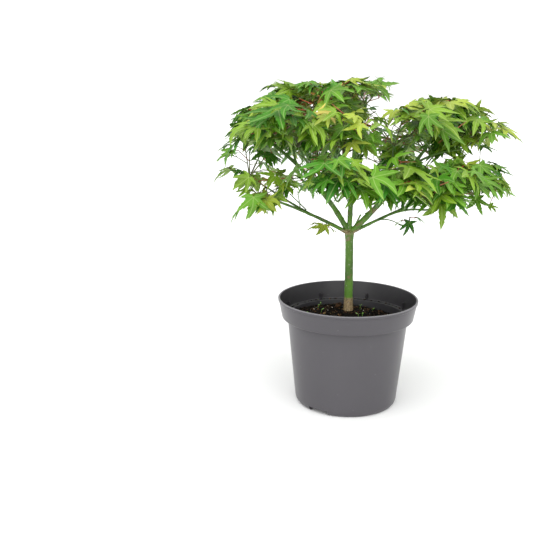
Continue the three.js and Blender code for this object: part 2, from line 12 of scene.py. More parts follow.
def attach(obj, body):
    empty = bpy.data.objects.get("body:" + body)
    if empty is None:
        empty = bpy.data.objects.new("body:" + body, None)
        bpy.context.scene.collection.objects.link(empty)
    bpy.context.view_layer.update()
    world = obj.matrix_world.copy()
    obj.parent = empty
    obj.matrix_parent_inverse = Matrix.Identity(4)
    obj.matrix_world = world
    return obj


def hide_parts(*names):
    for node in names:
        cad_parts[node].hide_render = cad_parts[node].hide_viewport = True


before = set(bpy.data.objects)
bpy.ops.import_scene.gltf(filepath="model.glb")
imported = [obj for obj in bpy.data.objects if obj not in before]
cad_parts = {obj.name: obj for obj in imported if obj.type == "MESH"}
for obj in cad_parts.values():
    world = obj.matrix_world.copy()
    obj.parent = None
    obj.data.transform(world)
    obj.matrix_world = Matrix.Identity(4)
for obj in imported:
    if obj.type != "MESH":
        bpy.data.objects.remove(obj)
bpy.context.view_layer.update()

bl_info = {
    "name": "Potted Maple",
    "version": (1, 0, 0),
    "blender": (4, 5, 0),
    "location": "3D View > Sidebar > Maple",
    "description": "Dresses the fixed frame of a potted maple with bark, foliage, soil and its pot",
    "category": "Object",
}

ROOT_BODY = "root"
MM = 0.001


# Limbs and masses of foliage, by the same rule and values as the solids, in millimetres

HEAD_HEIGHT = 232
COLLAR_LENGTH = 17
GAP = 0.3
Bough = namedtuple("Bough", "end radii climb")
BOUGHS = {
    "bough_left_low": Bough((-92, -24, 277), (2.5, 1.5), 30),
    "bough_left_high": Bough((-104, 14, 350), (3.6, 1.9), 62),
    "bough_centre": Bough((6, 14, 362), (3.3, 1.7), 88),
    "bough_right_high": Bough((92, -16, 344), (4.0, 2.0), 45),
    "bough_right_low": Bough((120, 12, 284), (2.2, 1.3), 26),
    "bough_back": Bough((16, 84, 330), (3.1, 1.6), 66),
}

Mass = namedtuple("Mass", "limb at middle reach droop seed twigs leaf", defaults=(7, 1))
MASSES = {
    "left_low": Mass("bough_left_low", 1, (-104, -38, 284), (50, 48, 31), 14, 8),
    "left_tip": Mass("bough_left_low", 0.5, (-132, 16, 320), (54, 54, 34), 12, 39),
    "left_high": Mass("bough_left_high", 1, (-112, -6, 370), (56, 56, 36), 10, 30),
    "left_front": Mass("bough_left_high", 0.35, (-72, -86, 368), (54, 52, 38), 10, 20),
    "left_back": Mass("bough_left_high", 0.5, (-95, 101, 356), (60, 58, 38), 6, 28),
    "left_crown": Mass("bough_left_high", 0.72, (-68, 24, 400), (58, 56, 32), 2, 15),
    "mid_crown": Mass("bough_centre", 1, (-20, -24, 402), (54, 54, 30), 0, 21),
    "crest": Mass("bough_centre", 0.7, (20, 24, 412), (42, 46, 30), -14, 64, 5),
    "mid_front": Mass("bough_centre", 0.38, (-21, -99, 360), (52, 50, 38), 8, 34),
    "front_low": Mass("bough_centre", 0.22, (-34, -138, 316), (56, 50, 34), 12, 8),
    "right_front": Mass("bough_right_high", 0.25, (24, -116, 312), (54, 50, 34), 12, 40),
    "right_mid": Mass("bough_right_high", 0.55, (48, -40, 366), (52, 50, 36), 4, 9),
    "right_crown": Mass("bough_right_high", 1, (104, 4, 378), (60, 58, 36), 6, 10),
    "right_tip": Mass("bough_right_high", 0.8, (160, 16, 364), (58, 56, 34), 8, 33),
    "right_low": Mass("bough_right_low", 0.45, (96, -78, 294), (60, 54, 36), 16, 23),
    "right_side": Mass("bough_right_low", 1, (156, -14, 300), (60, 56, 34), 12, 36),
    "right_back": Mass("bough_right_low", 0.6, (126, 96, 342), (60, 58, 40), 8, 36),
    "back_crown": Mass("bough_back", 1, (14, 94, 384), (60, 54, 32), 4, 36),
    "back_left": Mass("bough_back", 0.45, (-40, 144, 324), (58, 54, 38), 10, 15),
    "back_right": Mass("bough_back", 0.6, (66, 150, 324), (58, 52, 38), 10, 20),
    "sprout_left": Mass("bough_left_low", 0.3, (-38, -34, 247), (16, 16, 12), 40, 115, 1, 0.45),
    "sprout_right": Mass("bough_right_low", 0.3, (68, -52, 257), (16, 16, 12), 40, 101, 1, 0.6),
}
CROWN_MIDDLE = np.array([8, 0, 300])
CROWN_REACH = 200
MIDDLES = np.array([mass.middle for mass in MASSES.values()], float)
REACHES = np.array([mass.reach for mass in MASSES.values()], float)

SIDE_BOUGH_RADII = (1.7, 1.15)
ENTRY_SHARE = 0.72
SIDE_TURN = 0.3
BEND_SHARE = 0.4
STEM_RADII = (1.15, 1.05)
HUB_DROP = 0.45
TWIG_RADII = (1.05, 0.7)
TWIG_SHARE = 0.62
GOLDEN_ANGLE_DEG = 137.508
SEED_TURN_DEG = 40
CLIMBS_DEG = (68, -4)
TWIG_STRAY_DEG = 20
CLIMB_STRAY_DEG = 7
TWIG_NODES = [(0.95, 0), (0.92, 78), (0.92, -78), (0.5, 100), (0.5, -100)]

LEAF_LENGTH = 40
LEAF_SPREAD = (0.82, 1.12)
LEAF_SIZES = (1, 0.86, 0.72, 0.6)
LEAF_DROOP_DEG = 14
EDGE_DROOP_DEG = 34
EDGE_PULL = 0.9
AIM_STRAY_DEG = 22
DROOP_STRAY_DEG = 15
ROLL_STRAY_DEG = 20
STALK_LENGTHS = (13, 27)
STALK_RISE_DEG = 38
RISE_PER_DROOP = 0.5
RISE_STRAY_DEG = 10
RISE_LIMITS_DEG = (30, 80)

TOUCH = 0.9
TOUCH_STEPS = 6
PROBE_STEPS = 10
LEAF_CLEARANCE = 2.2
TWIG_CLEARANCE = 1.5
CELL_MARGIN = 0.02
TWIG_FREE_SHARES = (0.1, 0.85)
STALK_FREE_SHARE = 0.3
SPRAY_SHARE = 0.9

HALF_OUTLINE = [(0, 1), (24, 0.44), (46, 0.9), (72, 0.42), (100, 0.62)]
BACK_SHARE = 0.12
LOBE_SHARE = 0.5
LOBE_SAG = 0.24
BLADE_DROOP_SHARE = 0.48

# Leaves that stand out at the crown's edge and front: base, then azimuth, droop and roll, and length
MARKED_LEAVES = [
    ((36, -128, 319), (-100, 44, 0), 40),
    ((-29, -136, 338), (-92, 60, 0), 33),
    ((96, -96, 289), (-80, 62, 0), 34),
    ((28, 10, 420), (2, -14, 36), 34),
    ((-155, 10, 317), (185, 24, 25), 32),
    ((-142, -36, 271), (200, 45, 10), 25),
    ((-140, -20, 359), (205, 38, 12), 40),
    ((170, -14, 321), (-4, 12, 12), 42),
    ((176, -36, 301), (-20, 25, 12), 34),
    ((175, -24, 272), (5, 5, 25), 17),
    ((153, -40, 285), (-70, 52, 0), 26),
    ((42, -66, 392), (-112, 30, 0), 25),
    ((76, -100, 387), (-90, 70, 0), 25),
    ((194, 0, 366), (-6, 20, 8), 32),
    ((-20, -112, 377), (-132, 34, -8), 38),
    ((100, -112, 319), (-60, 28, 8), 31),
    ((171, 16, 345), (0, 8, 10), 26),
    ((-125, -84, 292), (-100, 64, 0), 30),
    ((-110, -84, 390), (-115, 30, 0), 29),
    ((-38, -34, 249), (-165, 52, 40), 17),
    ((69, -52, 256), (-140, 66, 0), 20),
]
MARKED_SPUR_SHARE = 0.8
# Young red shoots that show in front of the leaves: three points each, joined on at the middle one
MARKED_SHOOTS = [
    [(-104, -116, 390), (-99, -116, 368), (-88, -116, 380)],
    [(-36, -112, 401), (-25, -112, 392), (-11, -112, 384)],
    [(99, -56, 354), (115, -56, 367), (133, -50, 380)],
    [(77, -128, 309), (88, -128, 312), (97, -126, 315)],
]
SHOOT_RADII = (0.5, 0.75, 0.5)

# Finer growth: spurs along each twig, which bear smaller leaves
SPUR_PLACES = [(0.2, 1), (0.35, -1), (0.5, 1), (0.62, -1), (0.74, 1), (0.86, -1), (0.94, 1), (1, -1), (1, 1)]
SPUR_TURN_DEG = 68
SPUR_CLIMB_DEG = 24
SPUR_LENGTHS = (8, 24)
SPUR_RADII = (0.65, 0.45)
SPUR_LEAF_TURNS = (0, 75, -75)
SPUR_LEAF_SCALES = (0.5, 0.9)
SPUR_LEAF_SPACING = 8.5
SPUR_LEAF_FREEDOM = 2.2
LEAST_LEAF_LENGTH = 20
LEAF_SHRINKING = 0.92
EDGE_KEPT_SHARE = 0.8
# Seeds of each mass's spurs, picked for how the crown's edge and openings show from the front
SPUR_SEEDS = {
    "left_low": 259, "left_tip": 74, "left_high": 111, "left_front": 148, "left_back": 222,
    "left_crown": 74, "mid_crown": 74, "crest": 296, "mid_front": 370, "front_low": 370,
    "right_front": 111, "right_mid": 185, "right_crown": 296, "right_tip": 259, "right_low": 333,
    "right_side": 259, "right_back": 111, "back_crown": 296, "back_left": 370, "back_right": 148,
}
CROWN_LIMITS = ((-188, -200, 226), (222, 205, 440))

# What shows from the front, on the upright plane through the trunk: [x, z] in millimetres
FRONT_EYE = np.array([-109.5, -964, 410.6])
# The crown's edge, from its left tip up over the crest to its right tips and back along its underside
CROWN_EDGE = np.array([
    (-190, 301), (-158, 322), (-179, 324), (-162, 360), (-152, 384), (-148, 397), (-118, 406), (-116, 420),
    (-96, 428), (-31, 426), (0, 432), (26, 429), (57, 438), (50, 422), (56, 408), (42, 397), (60, 396),
    (81, 407), (110, 412), (155, 403), (182, 396), (208, 370), (220, 352), (194, 353), (184, 325), (232, 307),
    (202, 298), (220, 277), (200, 268), (158, 264), (145, 248), (120, 241), (108, 258), (60, 259), (27, 262),
    (-9, 258), (-27, 278), (-35, 252), (-42, 275), (-72, 286), (-95, 256), (-116, 247), (-156, 245),
    (-151, 264), (-137, 274), (-160, 285), (-153, 302),
])
# Openings where the sky shows through the crown: middle, then half width and half height
OPENINGS = [
    ((-128, 322), (14, 8)),
    ((-81, 324), (13, 11)),
    ((-105, 287), (10, 4)),
    ((26, 326), (8, 12)),
    ((25, 373), (7, 6)),
    ((39, 392), (8, 11)),
    ((160, 332), (8, 6)),
    ((39, 355), (5, 5)),
    ((52, 366), (4, 4)),
    ((-11, 335), (4, 4)),
    ((-141, 342), (7, 4)),
    ((9, 270), (6, 7)),
    ((180, 284), (7, 4)),
    ((-46, 271), (12, 9)),
    ((97, 332), (6, 3)),
    ((17, 402), (3, 9)),
    ((177, 383), (12, 5)),
    ((37, 416), (7, 3)),
    ((-107, 286), (9, 4)),
    ((-148, 324), (7, 5)),
    ((-121, 320), (5, 5)),
]
# Small gaps between the leaves, all of one size
GAPS = [
    (-56, 398), (-101, 414), (-25, 406), (8, 404), (26, 402), (51, 372), (-11, 365), (12, 361),
    (84, 368), (88, 349), (175, 384), (179, 364), (0, 337), (-65, 329), (-60, 312), (83, 337),
    (101, 315), (126, 329), (57, 312), (181, 312), (159, 286), (173, 271), (-39, 336), (-124, 290),
    (67, 360),
]
GAP_HALF = (3, 3)
OPENING_MIDDLES = np.array([middle for middle, _ in OPENINGS] + GAPS, float)
OPENING_HALVES = np.array([half for _, half in OPENINGS] + [GAP_HALF] * len(GAPS), float)


def lerp(low, high, share):
    return low + (high - low) * share


def clamp(value, low, high):
    return max(low, min(high, value))


def unit(vector):
    return vector / np.linalg.norm(vector)


class Numbers:
    """A repeatable stream of numbers from 0 to 1, the same as the solids' own."""

    MODULUS = 2147483647
    MULTIPLIER = 16807
    SEED_FACTOR = 7919

    def __init__(self, seed):
        self.state = seed * self.SEED_FACTOR

    def next(self):
        self.state = self.state * self.MULTIPLIER % self.MODULUS
        return self.state / self.MODULUS

    def stray(self, most):
        return (self.next() * 2 - 1) * most

    def between(self, limits):
        return lerp(*limits, self.next())


def heading(azimuth_deg, climb_deg):
    azimuth = math.radians(azimuth_deg)
    climb = math.radians(climb_deg)
    level = math.cos(climb)
    return np.array([math.cos(azimuth) * level, math.sin(azimuth) * level, math.sin(climb)])


class Bend:
    """A limb's line: it sets out towards a bend point and ends at its tip."""

    LENGTH_STEPS = 200

    def __init__(self, start, bend, tip):
        self.start, self.bend, self.tip = start, bend, tip

    def at(self, share):
        share = np.asarray(share, float)[..., None]
        back = 1 - share
        return back**2 * self.start + 2 * back * share * self.bend + share**2 * self.tip

    def way(self, share):
        return unit((1 - share) * (self.bend - self.start) + share * (self.tip - self.bend))

    def length(self):
        points = self.at(np.linspace(0, 1, self.LENGTH_STEPS + 1))
        return float(np.linalg.norm(np.diff(points, axis=0), axis=1).sum())


def onward(start, way, end):
    return Bend(start, start + way * np.linalg.norm(end - start) * BEND_SHARE, end)


def bough_line(bough):
    head = np.array([0, 0, HEAD_HEIGHT], float)
    tip = np.array(bough.end, float)
    across = tip - head
    azimuth = math.degrees(math.atan2(across[1], across[0]))
    way = heading(azimuth, bough.climb)
    return Bend(head, head + way * np.linalg.norm(across) / 2, tip)


def hub_of(mass):
    return np.array(mass.middle, float) - (0, 0, mass.reach[2] * HUB_DROP)


def side_line(mass, parent):
    start = parent.at(mass.at)
    tip = lerp(start, hub_of(mass), ENTRY_SHARE)
    return onward(start, lerp(parent.way(mass.at), unit(tip - start), SIDE_TURN), tip)


Limb = namedtuple("Limb", "line radii start")
Twig = namedtuple("Twig", "start tip azimuth clear")


def grow_limbs():
    """Every main and side bough by name, each with the share of its line at which it leaves the head."""
    limbs = {}
    for name, bough in BOUGHS.items():
        line = bough_line(bough)
        limbs[name] = Limb(line, bough.radii, (COLLAR_LENGTH + GAP) / line.length())
    for name, mass in MASSES.items():
        if mass.at != 1:
            line = side_line(mass, limbs[mass.limb].line)
            limbs["limb_" + name] = Limb(line, SIDE_BOUGH_RADII, 0)
    return limbs


def carrier_of(name, limbs):
    mass = MASSES[name]
    return limbs[mass.limb] if mass.at == 1 else limbs["limb_" + name]


class Surroundings:
    """The limbs as short segments, against which leaves and twigs are tested."""

    def __init__(self, limbs):
        lows, highs, radii = [], [], []
        for limb in limbs.values():
            points = limb.line.at(np.linspace(limb.start, 1, PROBE_STEPS + 1))
            lows.append(points[:-1])
            highs.append(points[1:])
            radii.append(np.full(PROBE_STEPS, limb.radii[0]))
        self.lows = np.concatenate(lows)
        self.ways = np.concatenate(highs) - self.lows
        self.radii = np.concatenate(radii)
        self.squares = (self.ways**2).sum(1)

    def clear(self, points, margin):
        away = points[:, None] - self.lows
        along = np.clip((away * self.ways).sum(2) / self.squares, 0, 1)
        nearest = away - along[..., None] * self.ways
        return bool((np.linalg.norm(nearest, axis=2) > self.radii + margin).all())


def keeps_to_cell(points, index):
    """Whether points lie nearer to a mass's middle, by its own measure, than to any other's."""
    shares = np.linalg.norm((points[:, None] - MIDDLES) / REACHES, axis=2)
    own = shares[:, index] + CELL_MARGIN
    others = np.delete(shares, index, axis=1)
    return bool((own < others.min(axis=1)).all())


def mirrored(half):
    return half + [(-angle, share) for angle, share in reversed(half[1:])]


OUTLINE = np.array(mirrored(HALF_OUTLINE), float)
OUTLINE_TIPS = OUTLINE[:, 1] > LOBE_SHARE
TURNS = np.array([angle for angle, _ in HALF_OUTLINE] + [180.0])
SHARES = np.array([share for _, share in HALF_OUTLINE] + [BACK_SHARE])


def frame_of(azimuth, droop, roll):
    """A blade's ways forward, across and out of its face."""
    forward = heading(azimuth, -droop)
    level = heading(azimuth + 90, 0)
    upright = np.cross(forward, level)
    turn = math.radians(roll)
    across = level * math.cos(turn) + upright * math.sin(turn)
    return np.array([forward, across, np.cross(forward, across)])


class Leaf:
    """One leaf: where its stalk leaves the twig, the blade's base and frame, and its length."""

    def __init__(self, node, azimuth, droop, roll, rise, stalk, length):
        self.frame = frame_of(azimuth, droop, roll)
        steep = math.radians(rise)
        self.node = node
        self.way = self.frame[0] * math.cos(steep) + self.frame[2] * math.sin(steep)
        self.base = node + self.way * stalk
        self.shown_frame = frame_of(azimuth, droop * BLADE_DROOP_SHARE, roll)
        self.length = length
        out = OUTLINE[:, 1]
        angles = np.radians(OUTLINE[:, 0])
        flat = np.stack([out * np.cos(angles), out * np.sin(angles), -LOBE_SAG * out**2], axis=1)
        self.outline = self.base + length * flat @ self.frame
        self.shown_outline = self.base + length * flat @ self.shown_frame
        self.spray = 0
        self.fine = False

    def probes(self):
        return np.concatenate([[self.base], self.outline, (self.outline + self.base) / 2])

    def lines(self):
        """Points along the stalk and each lobe's middle, as one row of points for each."""
        tips = self.outline[OUTLINE_TIPS]
        starts = np.vstack([lerp(self.node, self.base, STALK_FREE_SHARE), np.tile(self.base, (len(tips), 1))])
        ends = np.vstack([self.base, tips])
        return line_points(starts, ends)


def seen_from_front(points):
    """Where points show on the upright plane through the trunk, to an eye in front, as [x, z]."""
    away = points - FRONT_EYE
    shown = FRONT_EYE - away * (FRONT_EYE[1] / away[..., 1:2])
    return shown[..., [0, 2]]


def inside(points, loop):
    """Whether each point on the front's plane lies in a loop: a level line from it crosses it oddly."""
    x, z = np.moveaxis(points[:, None], -1, 0)
    start, end = loop.T, np.roll(loop, -1, axis=0).T
    spans = (start[1] > z) != (end[1] > z)
    rise = np.where(end[1] == start[1], 1, end[1] - start[1])
    crosses = start[0] + (z - start[1]) / rise * (end[0] - start[0])
    return (spans & (x < crosses)).sum(axis=1) % 2 == 1


def fills_opening(points, outline):
    """Whether any of the points shows in an opening, or the outline hides an opening's middle."""
    shown = seen_from_front(points)[:, None]
    near = np.linalg.norm((shown - OPENING_MIDDLES) / OPENING_HALVES, axis=-1) < 1
    return bool(near.any() or inside(OPENING_MIDDLES, seen_from_front(outline)).any())


def within_limits(points):
    low, high = CROWN_LIMITS
    return bool((points > low).all() and (points < high).all())


def within_crown(points):
    """Whether a leaf's outline keeps to the limits, and shows inside the crown's edge but for its tips."""
    kept = lerp(points.mean(axis=0), points, EDGE_KEPT_SHARE)
    return within_limits(points) and bool(inside(seen_from_front(kept), CROWN_EDGE).all())


def line_points(starts, ends):
    steps = np.linspace(0, 1, TOUCH_STEPS + 1)[:, None]
    return starts[:, None] + (ends - starts)[:, None] * steps


def pierces(lines, leaf):
    """Whether any of the lines touches or passes through a leaf."""
    u, v, rise = np.moveaxis((lines - leaf.base) @ leaf.frame.T, -1, 0)
    out = np.hypot(u, v)
    share = np.interp(np.degrees(np.abs(np.arctan2(v, u))), TURNS, SHARES)
    over = out <= share * leaf.length + TOUCH
    height = rise + LOBE_SAG * share * out
    if (over & (np.abs(height) < TOUCH)).any():
        return True
    both = over[:, 1:] & over[:, :-1]
    return bool((both & (height[:, 1:] * height[:, :-1] < 0)).any())


def leaves_cross(one, other):
    if np.linalg.norm(one.base - other.base) >= one.length + other.length:
        return False
    return pierces(one.lines(), other) or pierces(other.lines(), one)


def grow_twigs(index, mass, around, random):
    """The twigs of one mass, spread round its hub by the seeded rule."""
    hub = hub_of(mass)
    twigs = []
    for k in range(mass.twigs):
        turn = mass.seed * SEED_TURN_DEG + k * GOLDEN_ANGLE_DEG
        azimuth = turn + random.stray(TWIG_STRAY_DEG)
        climb = lerp(*CLIMBS_DEG, (k + 0.5) / mass.twigs)
        way = heading(azimuth, climb + random.stray(CLIMB_STRAY_DEG))
        reach = 1 / np.linalg.norm(way / mass.reach)
        tip = np.array(mass.middle) + way * reach * TWIG_SHARE
        ends = np.array([(hub + tip) / 2, tip])
        clear = around.clear(ends, TWIG_CLEARANCE) and keeps_to_cell(ends[1:], index)
        twigs.append(Twig(hub, tip, azimuth, clear))
    return twigs


def candidates(mass, node, azimuth, random, scale=1.0, freedom=1.0):
    """A leaf as the seeded rule would have it at a twig's node, in each size that may be tried."""
    outward = (node - CROWN_MIDDLE) * (1, 1, 0)
    edge = clamp(np.linalg.norm(outward) / CROWN_REACH, 0, 1)
    aim = heading(azimuth + random.stray(AIM_STRAY_DEG * freedom), 0) + unit(outward) * edge * EDGE_PULL
    toward = math.degrees(math.atan2(aim[1], aim[0]))
    droop = mass.droop + LEAF_DROOP_DEG + EDGE_DROOP_DEG * edge + random.stray(DROOP_STRAY_DEG * freedom)
    roll = random.stray(ROLL_STRAY_DEG * freedom)
    steep = STALK_RISE_DEG + droop * RISE_PER_DROOP + random.stray(RISE_STRAY_DEG)
    rise = clamp(steep, *RISE_LIMITS_DEG)
    stalk = random.between(STALK_LENGTHS) * mass.leaf * scale
    full = random.between(LEAF_SPREAD) * LEAF_LENGTH * mass.leaf * scale
    for size in LEAF_SIZES:
        yield Leaf(node, toward, droop, roll, rise, stalk, full * size)


class Foliage:
    """All twigs, spurs and leaves of the crown, grown mass by mass."""

    def __init__(self, limbs):
        self.around = Surroundings(limbs)
        self.bearers = []
        self.spurs = []
        self.leaves = []
        self.places = []
        for index, mass in enumerate(MASSES.values()):
            self.grow_mass(index, mass)
        self.hang_marked_leaves()
        for index, (name, mass) in enumerate(MASSES.items()):
            if name in SPUR_SEEDS:
                self.grow_spurs(index, mass, SPUR_SEEDS[name])

    def keeps_clear(self, leaf, index, lines, others):
        probes = leaf.probes()
        return (
            keeps_to_cell(probes, index)
            and self.around.clear(probes, LEAF_CLEARANCE)
            and not pierces(lines, leaf)
            and not any(leaves_cross(leaf, other) for other in others)
        )

    def fits_between(self, leaf, index, bases):
        """Whether a spur's leaf keeps to its cell and the crown's limits, and not too near to others."""
        return (
            keeps_to_cell(leaf.base[None], index)
            and self.around.clear(leaf.probes(), LEAF_CLEARANCE)
            and all(np.linalg.norm(leaf.base - base) > SPUR_LEAF_SPACING for base in bases)
            and within_crown(leaf.shown_outline)
            and not fills_opening(leaf.shown_outline, leaf.shown_outline)
        )

    def first_clear(self, tries, index, lines, others):
        return next((leaf for leaf in tries if self.keeps_clear(leaf, index, lines, others)), None)

    def grow_mass(self, index, mass):
        """The mass's own twigs and leaves, as in its solid."""
        random = Numbers(mass.seed)
        twigs = grow_twigs(index, mass, self.around, random)
        starts = np.array([lerp(twig.start, twig.tip, TWIG_FREE_SHARES[0]) for twig in twigs])
        ends = np.array([lerp(twig.start, twig.tip, TWIG_FREE_SHARES[1]) for twig in twigs])
        lines = line_points(starts, ends)
        own = []
        bearing = {}
        for share, turn in TWIG_NODES:
            for k, twig in enumerate(twigs):
                node = lerp(twig.start, twig.tip, share)
                tries = list(candidates(mass, node, twig.azimuth + turn, random))
                leaf = self.first_clear(tries, index, lines, own)
                if leaf is None or not twig.clear:
                    continue
                leaf.spray = bearing.setdefault(k, len(self.places) + len(bearing))
                own.append(leaf)
        for k in sorted(bearing, key=bearing.get):
            self.places.append(lerp(twigs[k].start, twigs[k].tip, SPRAY_SHARE))
            self.bearers.append((index, twigs[k]))
        within = within_limits if mass.twigs == 1 else within_crown
        self.leaves += [leaf for leaf in own if self.shown(leaf, within)]

    def shown(self, leaf, within):
        """Whether a leaf of the solids shows here too. It shrinks to its limits, and hides no opening."""
        while not within(leaf.shown_outline) and leaf.length > LEAST_LEAF_LENGTH:
            leaf.shown_outline = lerp(leaf.base, leaf.shown_outline, LEAF_SHRINKING)
            leaf.length *= LEAF_SHRINKING
        return within(leaf.shown_outline) and not fills_opening(leaf.base[None], leaf.shown_outline)

    def hang_marked_leaves(self):
        """The leaves that stand out, each on a spur from the nearest twig."""
        for base, turns, length in MARKED_LEAVES:
            base = np.array(base, float)
            leaf = Leaf(base, *turns, 0, 0, length)
            tip = self.nearest_tip(base)
            leaf.node = lerp(tip, base, MARKED_SPUR_SHARE)
            leaf.way = unit(base - tip)
            leaf.shown_frame = leaf.frame
            leaf.spray = len(self.places)
            self.places.append(base)
            self.spurs.append((tip, leaf.node))
            self.leaves.append(leaf)

    def nearest_tip(self, place):
        return min((twig.tip for _, twig in self.bearers), key=lambda tip: np.linalg.norm(tip - place))

    def grow_spurs(self, index, mass, seed):
        """Spurs along the mass's twigs, with the smaller leaves that fit between the others."""
        random = Numbers(seed)
        for twig in [twig for owner, twig in self.bearers if owner == index]:
            for share, side in SPUR_PLACES:
                azimuth = twig.azimuth + side * SPUR_TURN_DEG + random.stray(TWIG_STRAY_DEG)
                way = heading(azimuth, SPUR_CLIMB_DEG + random.stray(TWIG_STRAY_DEG))
                start = lerp(twig.start, twig.tip, share)
                tip = start + way * random.between(SPUR_LENGTHS)
                kept = self.spur_leaves(index, mass, tip, azimuth, random)
                if kept:
                    self.places.append(tip)
                    self.spurs.append((start, tip))
                    self.leaves += kept

    def spur_leaves(self, index, mass, tip, azimuth, random):
        """The leaves that find room at a spur's tip."""
        free = self.around.clear(tip[None], TWIG_CLEARANCE) and keeps_to_cell(tip[None], index)
        near = [leaf.base for leaf in self.leaves if np.linalg.norm(leaf.base - tip) < 2 * LEAF_LENGTH]
        kept = []
        for turn in SPUR_LEAF_TURNS:
            scale = random.between(SPUR_LEAF_SCALES)
            leaf = next(candidates(mass, tip, azimuth + turn, random, scale, SPUR_LEAF_FREEDOM))
            if free and self.fits_between(leaf, index, near):
                leaf.spray = len(self.places)
                leaf.fine = True
                kept.append(leaf)
                near.append(leaf.base)
        return kept


# Meshes from arrays, and the shapes that repeat


def deselect_all():
    if bpy.context.object and bpy.context.object.mode != "OBJECT":
        bpy.ops.object.mode_set(mode="OBJECT")
    bpy.ops.object.select_all(action="DESELECT")


def make_active(piece):
    deselect_all()
    piece.select_set(True)
    bpy.context.view_layer.objects.active = piece


def mesh_object(name, points, faces, material, smooth=True):
    """A mesh object from points in millimetres and lists of corners, in the frame's metres."""
    mesh = bpy.data.meshes.new(name)
    mesh.from_pydata((np.asarray(points, float) * MM).tolist(), [], [list(face) for face in faces])
    mesh.validate()
    mesh.polygons.foreach_set("use_smooth", [smooth] * len(mesh.polygons))
    mesh.update()
    piece = bpy.data.objects.new(name, mesh)
    bpy.context.scene.collection.objects.link(piece)
    mesh.materials.append(material)
    return piece


def join_shapes(shapes):
    """Many (points, faces) shapes as one, with each face's corners counted on."""
    points, faces, count = [], [], 0
    for shape_points, shape_faces in shapes:
        points.append(shape_points)
        faces += [[corner + count for corner in face] for face in shape_faces]
        count += len(shape_points)
    return np.concatenate(points), faces


def lay_map(piece, name, places):
    """A UV map from one [u, v] place for each point of the mesh."""
    corners = np.empty(len(piece.data.loops), int)
    piece.data.loops.foreach_get("vertex_index", corners)
    piece.data.uv_layers.new(name=name).data.foreach_set("uv", places[corners].ravel())


def apply_modifier(piece, kind, **values):
    make_active(piece)
    modifier = piece.modifiers.new(kind.title(), kind)
    for key, value in values.items():
        setattr(modifier, key, value)
    bpy.ops.object.modifier_apply(modifier=modifier.name)


def shade_smooth(piece):
    piece.data.polygons.foreach_set("use_smooth", [True] * len(piece.data.polygons))


def finish_piece(piece, slot, *nodes):
    """Rides the piece on the plant's one body, in the place of the named solids."""
    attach(piece, ROOT_BODY)
    if nodes:
        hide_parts(*nodes)


def finish_shapes(name, shapes, material, slot, *nodes, smooth=True):
    """Many (points, faces) shapes as one finished piece, which is returned."""
    points, faces = join_shapes(shapes)
    piece = mesh_object(name, points, faces, material, smooth)
    finish_piece(piece, slot, *nodes)
    return piece


def stretch_between(start, end, count):
    """Points evenly set from a start to an end, both in."""
    return lerp(np.array(start, float), np.array(end, float), np.linspace(0, 1, count)[:, None])


# Above this rise of its first step, a tube has its rings laid out from +X instead of +Z
STEEP = 0.9


def tube(points, radii, sides):
    """A closed round tube along points, as (points, faces), its rings laid across the way it runs."""
    points = np.asarray(points, float)
    radii = np.broadcast_to(np.asarray(radii, float), (len(points),))
    ways = np.gradient(points, axis=0)
    ways /= np.linalg.norm(ways, axis=1)[:, None]
    side = np.cross(ways[0], (0, 0, 1) if abs(ways[0][2]) < STEEP else (1, 0, 0))
    turns = np.linspace(0, 2 * math.pi, sides, endpoint=False)
    rings = []
    for point, way, radius in zip(points, ways, radii):
        side = unit(side - way * side.dot(way))
        up = np.cross(way, side)
        ring = np.outer(np.cos(turns), side) + np.outer(np.sin(turns), up)
        rings.append(point + ring * radius)
    last = len(points) - 1
    faces = [list(reversed(range(sides))), [last * sides + i for i in range(sides)]]
    for ring in range(last):
        for i in range(sides):
            here, there = ring * sides + i, ring * sides + (i + 1) % sides
            faces.append([here, there, there + sides, here + sides])
    return np.concatenate(rings), faces


# Leaf blades. Lobes are [angle, length]; the notches between them are [angle, way out], one more than
# the lobes. An edge runs from a notch to the lobe's tip as [share of the way, half-width].

LOBES = [(-100, 0.62), (-46, 0.9), (0, 1.0), (46, 0.9), (100, 0.62)]
NOTCHES = [(-150, 0.12), (-73, 0.28), (-23, 0.32), (23, 0.32), (73, 0.28), (150, 0.12)]
WIDE_EDGE = [(0.16, 0.155), (0.33, 0.122), (0.39, 0.148), (0.58, 0.082), (0.64, 0.104)]
SIDE_EDGE = [(0.2, 0.165), (0.38, 0.122), (0.46, 0.146), (0.7, 0.06)]
PLAIN_EDGE = [(0.24, 0.145), (0.46, 0.1), (0.54, 0.115)]
FULL_EDGES = [SIDE_EDGE, WIDE_EDGE, WIDE_EDGE, WIDE_EDGE, SIDE_EDGE]
FINE_EDGES = [PLAIN_EDGE] * len(LOBES)
MIDRIB = [0.36, 0.7]
LOBE_FREE_OUT = 0.4


def lobe_shape(index, edge):
    """One lobe in its own frame, as [out, side] points and triangles that face up.

    Points 0 to 3 are its base, two places on its midrib and its tip.
    """
    angle, length = LOBES[index]
    points = [(0, 0), *[(out, 0) for out in MIDRIB], (1, 0)]
    tip = len(points) - 1
    faces = []
    for notch, side in ((NOTCHES[index], -1), (NOTCHES[index + 1], 1)):
        turn = math.radians(notch[0] - angle)
        start = notch[1] / length * math.cos(turn), notch[1] / length * math.sin(turn)
        first = len(points)
        points.append(start)
        points += [(lerp(start[0], 1, share), side * width) for share, width in edge]
        corners = list(range(first, len(points)))
        near = [corner for corner in corners if points[corner][0] < MIDRIB[1]]
        far = [near[-1], *corners[len(near) :], tip]
        fan = [(0, near[0], 1), *[(a, b, 1) for a, b in zip(near, near[1:])], (near[-1], 2, 1)]
        fan += [(a, b, 2) for a, b in zip(far, far[1:])]
        faces += [face[::-1] if side > 0 else face for face in fan]
    return points, faces


